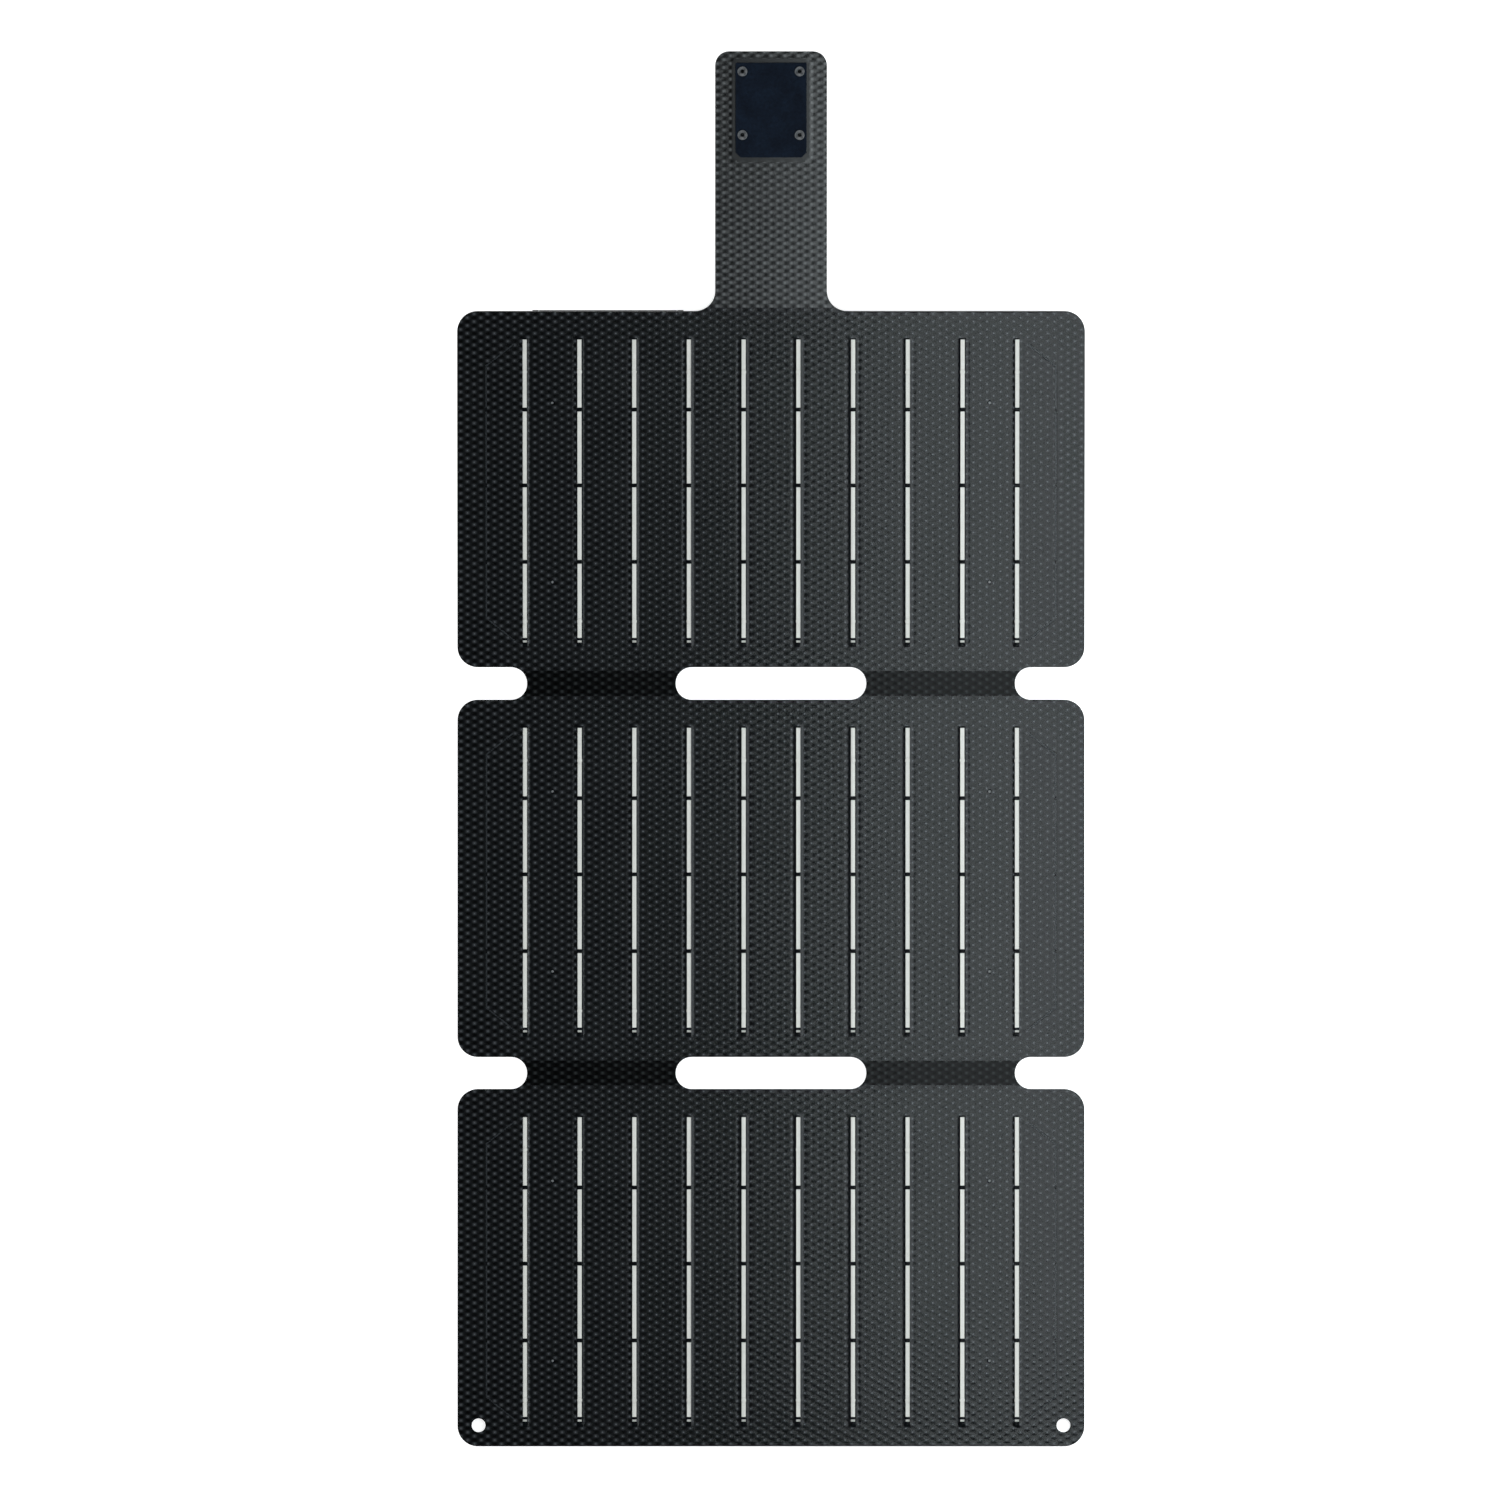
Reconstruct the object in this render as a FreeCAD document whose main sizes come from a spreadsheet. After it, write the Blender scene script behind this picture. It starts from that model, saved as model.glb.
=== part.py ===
import FreeCAD, Part
import math
import os

import Sketcher
from FreeCAD import Placement, Rotation, Vector

# A folding solar sheet: three laminated panels joined by two fold webs, a closing flap on the top
# panel and a charge controller with its sockets on that panel's back. The sheet lies open with its
# light-facing side up. X runs across the sheet, Y from the lower panel to the flap, Z up. The lower
# and middle panels lie flat; the controller's near edge stands on the ground, so the top panel
# leans up from its fold. Each panel is drawn in its own frame: middle of the panel, back face at 0.

SIZES = [
    ("sheet_width", 200.0, "width of every panel"),
    ("panel_length", 114.0, "length of one panel"),
    ("fold_gap", 10.2, "between two panels, and the height of the slots and notches"),
    ("corner_radius", 6.5, "panel corners and the roots of the flap"),
    ("slot_length", 60.8, "tip to tip, between the two webs of a fold"),
    ("notch_depth", 22.2, "from the sheet's side in to a web"),
    ("lug_length", 1.2, "how far a panel's layers reach into a web"),
    ("film", 0.25, "clear embossed front film"),
    ("front_seal", 0.55, "encapsulant round the cells"),
    ("rear_seal", 0.9, "encapsulant round the board"),
    ("backing", 0.3, "back sheet"),
    ("board_thickness", 0.6, "stiffener board"),
    ("board_inset", 9.0, "from the panel's edge to its board"),
    ("cell_width", 182.0, "one cell, cut into four strips"),
    ("cell_chamfer_across", 8.8, "cut corner of a cell, along X"),
    ("cell_chamfer_along", 7.0, "cut corner of a cell, along Y"),
    ("cell_thickness", 0.2, "silicon strip"),
    ("strip_one", 20.7, "length of the strip nearest the panel's top"),
    ("strip_two", 23.7, "second strip"),
    ("strip_three", 23.9, "third strip"),
    ("strip_four", 25.0, "strip nearest the panel's bottom"),
    ("strip_gap", 0.6, "between two strips"),
    ("ribbon_margin", 9.0, "panel's top edge to where the ribbons show"),
    ("field_drop", 1.35, "ribbon tops to the first strip"),
    ("ribbon_pitch", 17.44, "between tabbing ribbons"),
    ("ribbon_count", 10, "tabbing ribbons across a cell"),
    ("ribbon_width", 1.3, "tabbing ribbon"),
    ("ribbon_thickness", 0.1, "tabbing ribbon, tabs and return foil"),
    ("ribbon_grip", 2.0, "from a strip's far edge to the ribbon under it"),
    ("bus_offset", 1.4, "ribbon tops to the bus above them"),
    ("bus_width", 4.0, "bus ribbon"),
    ("bus_length", 164.0, "bus ribbon"),
    ("tape_thickness", 0.08, "black masking tape"),
    ("tape_height", 6.4, "tape over a bus"),
    ("tape_over_end", 0.25, "gap tape over the strip above it"),
    ("tape_over_start", 0.4, "gap tape over the strip below it"),
    ("ribbon_tuck", 0.12, "ribbon ends under the gap tape"),
    ("tail_show", 0.65, "ribbon tails seen below the last strip"),
    ("last_ribbon_stop", 0.85, "last strip's bottom to its ribbons' ends"),
    ("link_place", 54.0, "middle line to a web's flat conductor"),
    ("link_width", 4.0, "flat conductor through a web"),
    ("hole_diameter", 4.4, "hanging hole"),
    ("hole_inset", 6.7, "hanging hole's centre from both edges"),
    ("upper_axis_rise", 1.5, "upper fold's axis above the front face"),
    ("lower_axis_rise", 0.3, "lower fold's axis above the front face"),
    ("flap_length", 83.0, "from the top panel's edge"),
    ("flap_width", 35.6, "closing flap"),
    ("flap_corner", 4.5, "flap's end corners"),
    ("flap_flex", 9.0, "length of the flap's bending root"),
    ("hook_width", 22.6, "hook patch"),
    ("hook_length", 30.2, "hook patch"),
    ("hook_thickness", 1.0, "hook patch"),
    ("hook_end", 3.5, "flap's end to the hook patch"),
    ("hook_cut", 1.6, "cut corner of the hook patch"),
    ("rivet_pitch_across", 18.2, "rivets of the hook patch, along X"),
    ("rivet_pitch_along", 20.3, "rivets of the hook patch, along Y"),
    ("rivet_end", 6.2, "flap's end to the first rivets"),
    ("rivet_bore", 1.1, "hollow rivet"),
    ("rivet_barrel", 2.0, "hollow rivet"),
    ("rivet_flange", 3.2, "hollow rivet, front ring"),
    ("rivet_back_flange", 3.6, "hollow rivet, closed rear head"),
    ("flange_thickness", 0.3, "hollow rivet"),
    ("loop_width", 26.0, "loop patch"),
    ("loop_length", 36.0, "loop patch"),
    ("loop_thickness", 0.8, "loop patch"),
    ("loop_corner", 2.0, "loop patch"),
    ("box_width", 62.0, "controller, along X"),
    ("box_length", 32.0, "controller, along Y"),
    ("box_corner", 4.0, "controller corners"),
    ("box_offset", 52.0, "middle line to the controller's centre"),
    ("box_to_edge", 4.0, "controller to the top panel's edge"),
    ("box_wall", 1.5, "lid walls"),
    ("box_roof", 1.2, "lid roof and base floor"),
    ("box_edge_round", 1.2, "lid's outer edge"),
    ("pad_thickness", 0.4, "adhesive pad"),
    ("pad_inset", 1.0, "adhesive pad from the base's edge"),
    ("gasket_thickness", 0.4, "between base and lid"),
    ("board_lift", 0.5, "base floor to circuit board"),
    ("circuit_thickness", 1.0, "circuit board"),
    ("circuit_clearance", 0.8, "circuit board to the lid walls"),
    ("headroom", 6.1, "circuit board to the lid roof"),
    ("post_diameter", 5.0, "screw posts"),
    ("post_inset", 4.5, "screw posts from the controller's sides"),
    ("post_height", 2.4, "base posts above the floor"),
    ("screw_diameter", 2.0, "lid screws"),
    ("screw_clearance", 0.2, "lid's screw holes"),
    ("screw_head", 3.8, "lid screws"),
    ("screw_head_height", 1.3, "lid screws"),
    ("screw_recess", 1.5, "how deep the screw heads sit"),
    ("screw_head_gap", 0.2, "round a screw head in its recess"),
    ("screw_cross_length", 2.2, "cross slot of a lid screw"),
    ("screw_cross_width", 0.5, "cross slot of a lid screw"),
    ("ledge_width", 1.0, "base ledges under the circuit board"),
    ("lead_diameter", 1.2, "input leads"),
    ("lead_hole", 1.6, "holes for the input leads"),
    ("lead_to_edge", 7.2, "top panel's edge to the leads"),
    ("lead_spread", 6.0, "between the two leads"),
    ("socket_offset", 14.0, "controller's centre to each socket"),
    ("socket_gap", 0.1, "lid opening round a socket"),
    ("wide_socket_width", 13.1, "USB-A receptacle"),
    ("wide_socket_height", 5.7, "USB-A receptacle"),
    ("wide_socket_length", 14.0, "USB-A receptacle"),
    ("slim_socket_width", 8.94, "USB-C receptacle"),
    ("slim_socket_height", 3.26, "USB-C receptacle"),
    ("slim_socket_length", 7.35, "USB-C receptacle"),
    ("socket_wall", 0.3, "sheet metal of both receptacles"),
    ("lamp_diameter", 2.8, "indicator lamp"),
    ("parts_row", 8.5, "circuit board's rear side to the inductor and capacitors"),
    ("inductor_size", 7.4, "power inductor"),
    ("inductor_height", 3.8, "power inductor's body"),
    ("inductor_corner", 1.5, "power inductor's corners"),
    ("inductor_cap", 6.0, "raised disc on the power inductor"),
    ("inductor_cap_height", 0.4, "raised disc on the power inductor"),
    ("can_diameter", 5.0, "capacitors"),
    ("can_height", 5.2, "capacitors"),
    ("can_place", 11.0, "controller's centre to the first capacitor"),
    ("can_pitch", 6.5, "between the capacitors"),
    ("chip_row", 13.0, "circuit board's rear side to the two socket chips"),
    ("chip_pitch", 9.0, "between the two socket chips"),
    ("chip_width", 5.0, "socket chip"),
    ("chip_length", 4.0, "socket chip"),
    ("chip_height", 1.5, "all three chips"),
    ("driver_row", 7.0, "circuit board's rear side to the converter chip"),
    ("driver_place", 5.5, "controller's centre to the converter chip"),
    ("driver_width", 4.3, "converter chip"),
    ("driver_length", 2.6, "converter chip"),
    ("cover_width", 44.0, "dust cover"),
    ("cover_thickness", 1.2, "dust cover"),
    ("cover_gap", 0.2, "dust cover to the lid"),
    ("knuckle_diameter", 3.0, "dust cover's hinge"),
    ("pin_diameter", 1.2, "dust cover's hinge pin"),
    ("pin_clearance", 0.1, "hinge pin in its knuckle"),
    ("pin_reach", 1.9, "lid to the hinge pin's axis"),
    ("ear_width", 2.0, "lid's hinge ears"),
]

doc = FreeCAD.newDocument("solar_sheet")
dims = doc.addObject("Spreadsheet::Sheet", "dims")
for row, (name, value, note) in enumerate(SIZES, 1):
    dims.set(f"A{row}", note)
    dims.set(f"B{row}", str(value))
    dims.setAlias(f"B{row}", name)
doc.recompute()


def worth(text):
    """What an expression over the sheet comes to, in millimetres."""
    found = dims.evalExpression(text)
    return float(getattr(found, "Value", found))


# Levels in a panel, from its back face up.
BOARD_TOP = "(dims.backing + dims.board_thickness)"
REAR_TOP = "(dims.backing + dims.rear_seal)"
CELL_LOW = f"({REAR_TOP} + dims.ribbon_thickness)"
CELL_TOP = f"({CELL_LOW} + dims.cell_thickness)"
RIBBON_TOP = f"({CELL_TOP} + dims.ribbon_thickness)"
FILM_LOW = f"({REAR_TOP} + dims.front_seal)"
FRONT = f"({FILM_LOW} + dims.film)"
MID_LEVEL = f"({FRONT}/2)"

# Places in a panel's plan.
EDGE = "(dims.panel_length/2)"
SIDE = "(dims.sheet_width/2)"
ARC = "(dims.fold_gap/2)"
SLOT_CENTRE = f"(dims.slot_length/2 - {ARC})"
NOTCH_CENTRE = f"({SIDE} - dims.notch_depth + {ARC})"
RIBBON_START = f"({EDGE} - dims.ribbon_margin)"
LUG_EDGE = f"({EDGE} + dims.lug_length)"
ROOT_CENTRE = "(dims.flap_width/2 + dims.corner_radius)"

# The controller hangs from the top panel's back: these depths are measured down from that face.
FLOOR_TOP = "dims.pad_thickness"
FLOOR_LOW = f"({FLOOR_TOP} + dims.box_roof)"
LID_START = f"({FLOOR_LOW} + dims.gasket_thickness)"
CIRCUIT_TOP = f"({FLOOR_LOW} + dims.board_lift)"
CIRCUIT_LOW = f"({CIRCUIT_TOP} + dims.circuit_thickness)"
ROOF_TOP = f"({CIRCUIT_LOW} + dims.headroom)"
BOX_DEPTH = f"({ROOF_TOP} + dims.box_roof)"
POST_END = f"({FLOOR_LOW} + dims.post_height)"
BOX_X = "(-dims.box_offset)"
BOX_FAR = f"({EDGE} - dims.box_to_edge)"
BOX_Y = f"({BOX_FAR} - dims.box_length/2)"
LEAD_Y = f"({EDGE} - dims.lead_to_edge)"
LEADS = [(f"{BOX_X} + {way}*dims.lead_spread/2", LEAD_Y) for way in (-1, 1)]
HINGE_Y = f"({BOX_FAR} + dims.pin_reach)"
HINGE_Z = f"(-({ROOF_TOP} - dims.cover_gap))"
LAMP_Y = f"({BOX_Y} - dims.box_length/6)"


def rest_lean():
    """How far the top panel leans, in degrees, with its controller's rounded edge on the ground."""
    axis_height = worth(f"dims.loop_thickness + {FRONT} + dims.upper_axis_rise")
    edge_round = worth("dims.box_edge_round")
    out = worth(f"{BOX_FAR} - dims.box_length + {EDGE} + {ARC}") + edge_round
    down = worth(f"{BOX_DEPTH} + {FRONT} + dims.upper_axis_rise") - edge_round
    return math.degrees(math.atan2(down, out) - math.asin((axis_height - edge_round) / math.hypot(out, down)))


LEAN = rest_lean()
PANEL_STEP = worth("dims.panel_length + dims.fold_gap")
GROUND_GAP = worth("dims.loop_thickness")
AXIS_DEPTH = worth(f"{FRONT} + dims.upper_axis_rise")
FLAP_TIP = worth(f"{ARC} + dims.panel_length + dims.flap_length")
leaning = math.radians(LEAN)
FOLD_REACH = 2 * PANEL_STEP - worth(ARC)
TOTAL_LENGTH = FOLD_REACH + FLAP_TIP * math.cos(leaning) + AXIS_DEPTH * math.sin(leaning)
LOWEST_Y = -TOTAL_LENGTH / 2

LOWER = Placement(Vector(0, LOWEST_Y + worth(EDGE), GROUND_GAP), Rotation())
MIDDLE = Placement(Vector(0, LOWEST_Y + worth(EDGE) + PANEL_STEP, GROUND_GAP), Rotation())
UPPER_AXIS = Placement(Vector(0, LOWEST_Y + FOLD_REACH, GROUND_GAP + AXIS_DEPTH), Rotation())
LOWER_AXIS = Placement(
    Vector(0, LOWEST_Y + FOLD_REACH - PANEL_STEP, GROUND_GAP + worth(f"{FRONT} + dims.lower_axis_rise")), Rotation()
)
UPPER = (
    UPPER_AXIS
    * Placement(Vector(), Rotation(Vector(1, 0, 0), LEAN))
    * Placement(Vector(0, worth(f"{ARC} + {EDGE}"), -AXIS_DEPTH), Rotation())
)

nodes = []


def rectangle(left, right, low, high):
    """Four corners, anticlockwise."""
    return [(left, low), (right, low), (right, high), (left, high)]


def centred(x, y, width, length, inset="0"):
    """A rectangle round a centre, drawn in by inset all round."""
    half_x = f"({width})/2 - ({inset})"
    half_y = f"({length})/2 - ({inset})"
    return rectangle(f"{x} - ({half_x})", f"{x} + ({half_x})", f"{y} - ({half_y})", f"{y} + ({half_y})")


def new_body(label, place, is_node=True):
    body = doc.addObject("PartDesign::Body", label)
    body.Label = label
    body.AllowCompound = True
    body.Placement = place
    if is_node:
        nodes.append(body)
    return body


def sketch(body, role, level, outlines, circles):
    """A sketch on the body's own plane; each corner, centre and radius is bound to the sheet."""
    drawn = body.newObject("Sketcher::SketchObject", body.Name + "_sketch")
    plane = [feature for feature in body.Origin.OriginFeatures if feature.Role == role][0]
    drawn.AttachmentSupport = (plane, [""])
    drawn.MapMode = "FlatFace"
    drawn.setExpression("AttachmentOffset.Base.z", level)

    def bind(kind, geometry, point, value):
        spot = [geometry] if point is None else [-1, 1, geometry, point]
        number = drawn.addConstraint(Sketcher.Constraint(kind, *spot, worth(value)))
        drawn.setExpression(f"Constraints[{number}]", value)

    for corners in outlines:
        first = drawn.GeometryCount
        count = len(corners)
        spots = [Vector(worth(x), worth(y), 0) for x, y in corners]
        drawn.addGeometry([Part.LineSegment(spots[i], spots[(i + 1) % count]) for i in range(count)], False)
        for i, (x, y) in enumerate(corners):
            drawn.addConstraint(Sketcher.Constraint("Coincident", first + i, 2, first + (i + 1) % count, 1))
            bind("DistanceX", first + i, 1, x)
            bind("DistanceY", first + i, 1, y)
    for x, y, radius in circles:
        ring = Part.Circle(Vector(worth(x), worth(y), 0), Vector(0, 0, 1), worth(radius))
        number = drawn.addGeometry(ring, False)
        bind("DistanceX", number, 3, x)
        bind("DistanceY", number, 3, y)
        bind("Radius", number, None, radius)
    return drawn


def pad(body, level, height, outlines=(), circles=(), role="XY_Plane"):
    """Material from a level along the plane's normal: up, or towards -Y, or towards +X."""
    feature = body.newObject("PartDesign::Pad", body.Name + "_pad")
    feature.Profile = sketch(body, role, level, outlines, circles)
    feature.setExpression("Length", height)
    doc.recompute()
    return feature


def pocket(body, level, depth, outlines=(), circles=(), role="XY_Plane"):
    """Material taken away from a level along the plane's normal; it has to cut something."""
    before = body.Shape.Volume
    feature = body.newObject("PartDesign::Pocket", body.Name + "_pocket")
    feature.Profile = sketch(body, role, level, outlines, circles)
    feature.setExpression("Length", depth)
    feature.Reversed = True
    doc.recompute()
    if not body.Shape.Volume < before:
        raise RuntimeError(f"a pocket of {body.Label} cuts nothing")
    return feature


def fillet(body, radius, chosen):
    """Rounds the edges of the last feature that chosen() picks."""
    base = body.Tip
    picked = [f"Edge{i}" for i, edge in enumerate(base.Shape.Edges, 1) if chosen(edge)]
    feature = body.newObject("PartDesign::Fillet", body.Name + "_fillet")
    feature.Base = (base, picked)
    feature.setExpression("Radius", radius)
    doc.recompute()


def upright(edge):
    box = edge.BoundBox
    return box.XLength < 1e-6 and box.YLength < 1e-6


def plate(label, place, low, high, outline, corner=None, holes=(), is_node=True):
    """A flat sheet between two levels, with rounded corners and holes right through."""
    body = new_body(label, place, is_node)
    pad(body, low, f"{high} - ({low})", [outline])
    if corner:
        fillet(body, corner, upright)
    if holes:
        pocket(body, low, f"{high} - ({low})", circles=holes)
    return body


def hollowed(label, base, tools):
    """A sheet with the places taken by other pieces cut out of it."""
    together = doc.addObject("Part::Compound", label + "_inside")
    together.Links = tools
    cut = doc.addObject("Part::Cut", label)
    cut.Label = label
    cut.Base = base
    cut.Tool = together
    nodes.append(cut)
    doc.recompute()
    return cut


def web_rounds(level):
    """The round ends of slot and notch on both sides of a fold, as circles at a level of Y."""
    return [(f"{way}*{x}", level, ARC) for way in (-1, 1) for x in (SLOT_CENTRE, NOTCH_CENTRE)]


def panel_sheet(label, place, low, high, folds, has_flap=False, holes=(), is_node=True):
    """One layer with the panel's whole outline, its lugs at each fold and the flap's root."""
    body = plate(label, place, low, high, centred("0", "0", "dims.sheet_width", "dims.panel_length"),
                 "dims.corner_radius", (), is_node)
    lugs, rounds = [], list(holes)
    for side in folds:
        ends = [f"{side}*({EDGE} - dims.lug_length)", f"{side}*{LUG_EDGE}"][::side]
        lugs += [rectangle(SLOT_CENTRE, NOTCH_CENTRE, *ends)]
        lugs += [rectangle(f"-{NOTCH_CENTRE}", f"-{SLOT_CENTRE}", *ends)]
        rounds += web_rounds(f"{side}*({EDGE} + {ARC})")
    if has_flap:
        lugs += [rectangle(f"-{ROOT_CENTRE}", ROOT_CENTRE, f"{EDGE} - dims.lug_length", LUG_EDGE)]
        rounds += flap_rounds()
    pad(body, low, f"{high} - ({low})", lugs)
    pocket(body, low, f"{high} - ({low})", circles=rounds)
    return body


def flap_rounds():
    return [(f"{way}*{ROOT_CENTRE}", f"{EDGE} + dims.corner_radius", "dims.corner_radius") for way in (-1, 1)]


def strip_ends():
    """Top and bottom of each cell strip, from the panel's top down."""
    ends, top = [], f"({RIBBON_START} - dims.field_drop)"
    for name in ("strip_one", "strip_two", "strip_three", "strip_four"):
        bottom = f"({top} - dims.{name})"
        ends.append((top, bottom))
        top = f"({bottom} - dims.strip_gap)"
    return ends


STRIPS = strip_ends()
FIELD_LOW = STRIPS[-1][1]
TOP_BUS = f"({RIBBON_START} + dims.bus_offset)"
LOW_BUS = f"({FIELD_LOW} - dims.bus_offset - dims.bus_width)"


def cell_strips(prefix, place):
    """One cell, cut into four strips; the outer ones keep its cut corners."""
    body = new_body(prefix + "_cell_strips", place)
    side, inner = "(dims.cell_width/2)", "(dims.cell_width/2 - dims.cell_chamfer_across)"
    outlines = []
    for top, bottom in STRIPS:
        corners = rectangle(f"-{side}", side, bottom, top)
        if top == STRIPS[0][0]:
            shoulder = f"{top} - dims.cell_chamfer_along"
            corners[2:] = [(side, shoulder), (inner, top), (f"-{inner}", top), (f"-{side}", shoulder)]
        if bottom == FIELD_LOW:
            shoulder = f"{bottom} + dims.cell_chamfer_along"
            corners[:2] = [(f"-{side}", shoulder), (f"-{inner}", bottom), (inner, bottom), (side, shoulder)]
        outlines.append(corners)
    pad(body, CELL_LOW, "dims.cell_thickness", outlines)
    return body


def tabbing_ribbons(prefix, place):
    """Ten columns: each ribbon runs down a strip's front from under the strip above it."""
    body = new_body(prefix + "_tabbing_ribbons", place)
    jog = "dims.ribbon_thickness"
    first, last = STRIPS[0], STRIPS[-1]
    tucked = "dims.tape_over_end - dims.ribbon_tuck"
    outlines = [rectangle(f"{first[1]} + {tucked}", f"{TOP_BUS} + dims.bus_width", CELL_TOP, RIBBON_TOP)]
    for above, strip in zip(STRIPS, STRIPS[1:]):
        stop = "dims.last_ribbon_stop" if strip is last else tucked
        middle = f"{strip[0]} + dims.strip_gap/2"
        low, high, far = f"{middle} - {jog}", f"{middle} + {jog}", f"{above[0]} - dims.ribbon_grip"
        outlines.append([
            (f"{strip[1]} + {stop}", CELL_TOP), (low, CELL_TOP), (low, REAR_TOP), (far, REAR_TOP),
            (far, CELL_LOW), (high, CELL_LOW), (high, RIBBON_TOP), (f"{strip[1]} + {stop}", RIBBON_TOP),
        ])
    outlines.append(rectangle(LOW_BUS, f"{last[0]} - dims.ribbon_grip", REAR_TOP, CELL_LOW))
    start = "-(dims.ribbon_count - 1)*dims.ribbon_pitch/2 - dims.ribbon_width/2"
    column = pad(body, start, "dims.ribbon_width", outlines, role="YZ_Plane")
    row = body.newObject("PartDesign::LinearPattern", body.Name + "_row")
    row.Originals = [column]
    row.Direction = ([axis for axis in body.Origin.OriginFeatures if axis.Role == "X_Axis"][0], [""])
    row.setExpression("Length", "(dims.ribbon_count - 1)*dims.ribbon_pitch")
    row.setExpression("Occurrences", "dims.ribbon_count")
    body.Tip = row
    doc.recompute()
    return body


def masking_tapes(prefix, place):
    """Black tape over both buses and over the gaps between strips."""
    body = new_body(prefix + "_masking_tapes", place)
    side = "(dims.cell_width/2)"
    tapes = [(RIBBON_START, f"{RIBBON_START} + dims.tape_height")]
    tapes += [(f"{low[0]} - dims.tape_over_start", f"{high[1]} + dims.tape_over_end")
              for high, low in zip(STRIPS, STRIPS[1:])]
    tapes += [(f"{FIELD_LOW} - dims.tail_show - dims.tape_height", f"{FIELD_LOW} - dims.tail_show")]
    pad(body, RIBBON_TOP, "dims.tape_thickness", [rectangle(f"-{side}", side, low, high) for low, high in tapes])
    return body


def foil(low, high, place="dims.link_place"):
    return rectangle(f"{place} - dims.link_width/2", f"{place} + dims.link_width/2", low, high)


def bus_ribbons(prefix, place, folds):
    """Both buses, their tabs into the fold webs, and the return foil behind the cells."""
    body = new_body(prefix + "_bus_ribbons", place)
    half = "(dims.bus_length/2)"
    buses = [rectangle(f"-{half}", half, low, f"{low} + dims.bus_width") for low in (TOP_BUS, LOW_BUS)]
    pad(body, CELL_LOW, "dims.cell_thickness", buses)
    tabs = []
    if 1 in folds:
        tabs.append(foil(TOP_BUS, LUG_EDGE, "-dims.link_place"))
    if -1 in folds:
        tabs.append(foil(f"-{LUG_EDGE}", f"{LOW_BUS} + dims.bus_width", "-dims.link_place"))
    if prefix == "upper":
        tabs.append(centred(f"{BOX_X} - dims.lead_spread/2", LEAD_Y, "dims.lead_hole", "dims.lead_hole"))
    pad(body, REAR_TOP, "dims.ribbon_thickness", tabs)
    if prefix == "lower":
        pad(body, BOARD_TOP, f"{CELL_LOW} - {BOARD_TOP}", [foil(LOW_BUS, f"{LOW_BUS} + dims.link_width")])
        run = [foil(LOW_BUS, LUG_EDGE)]
    elif prefix == "middle":
        run = [foil(f"-{LUG_EDGE}", LUG_EDGE)]
    else:
        low, high = f"{LEAD_Y} - dims.lead_hole", f"{LEAD_Y} + dims.lead_hole"
        left, right = f"{BOX_X} + dims.lead_spread/2 - dims.lead_hole", "dims.link_place + dims.link_width/2"
        inside = "dims.link_place - dims.link_width/2"
        run = [[(left, low), (inside, low), (inside, f"-{LUG_EDGE}"), (right, f"-{LUG_EDGE}"),
                (right, high), (left, high)]]
    pad(body, BOARD_TOP, "dims.ribbon_thickness", run)
    return body




def panel(prefix, place, folds, has_flap=False, through=(), rear_holes=()):
    """All layers of one panel, front to back."""
    outline = {"place": place, "folds": folds, "has_flap": has_flap}
    panel_sheet(prefix + "_front_film", low=FILM_LOW, high=FRONT, holes=through, **outline)
    cells = cell_strips(prefix, place)
    ribbons = tabbing_ribbons(prefix, place)
    buses = bus_ribbons(prefix, place, folds)
    tapes = masking_tapes(prefix, place)
    board = plate(prefix + "_stiffener_board", place, "dims.backing", BOARD_TOP,
                  centred("0", "0", "dims.sheet_width", "dims.panel_length", "dims.board_inset"),
                  "dims.corner_radius/2")
    front = panel_sheet(prefix + "_front_seal_sheet", low=REAR_TOP, high=FILM_LOW, holes=through,
                        is_node=False, **outline)
    hollowed(prefix + "_front_encapsulant", front, [cells, ribbons, buses, tapes])
    rear = panel_sheet(prefix + "_rear_seal_sheet", low="dims.backing", high=REAR_TOP,
                       holes=[*through, *rear_holes], is_node=False, **outline)
    hollowed(prefix + "_rear_encapsulant", rear, [board, buses])
    panel_sheet(prefix + "_back_sheet", low="0", high="dims.backing", holes=[*through, *rear_holes], **outline)


def web_layer(label, axis_place, rise, lean, spans, low, high):
    """A layer of a fold's two webs, drawn from the fold's axis: flat, bent by lean, flat again."""
    body = new_body(label, axis_place, label.endswith("conductors"))
    reach = f"({ARC} - dims.lug_length)"
    section = [rectangle(left, right, f"{low} - {FRONT} - {rise}", f"{high} - {FRONT} - {rise}")
               for left, right in spans]
    pad(body, "0", reach, section, role="XZ_Plane")
    if lean:
        bend = body.newObject("PartDesign::Revolution", label + "_bend")
        bend.Profile = sketch(body, "XZ_Plane", "0", section, ())
        bend.ReferenceAxis = ([axis for axis in body.Origin.OriginFeatures if axis.Role == "X_Axis"][0], [""])
        bend.Angle = lean
        doc.recompute()
    far = pad(body, f"-{reach}", reach, section, role="XZ_Plane")
    if lean:
        far.Profile[0].AttachmentOffset = Placement(
            Vector(0, 0, 0), Rotation(Vector(1, 0, 0), lean)) * Placement(Vector(0, 0, -worth(reach)), Rotation())
        far.Profile[0].setExpression("AttachmentOffset.Base.z", None)
        doc.recompute()
    return body


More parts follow.
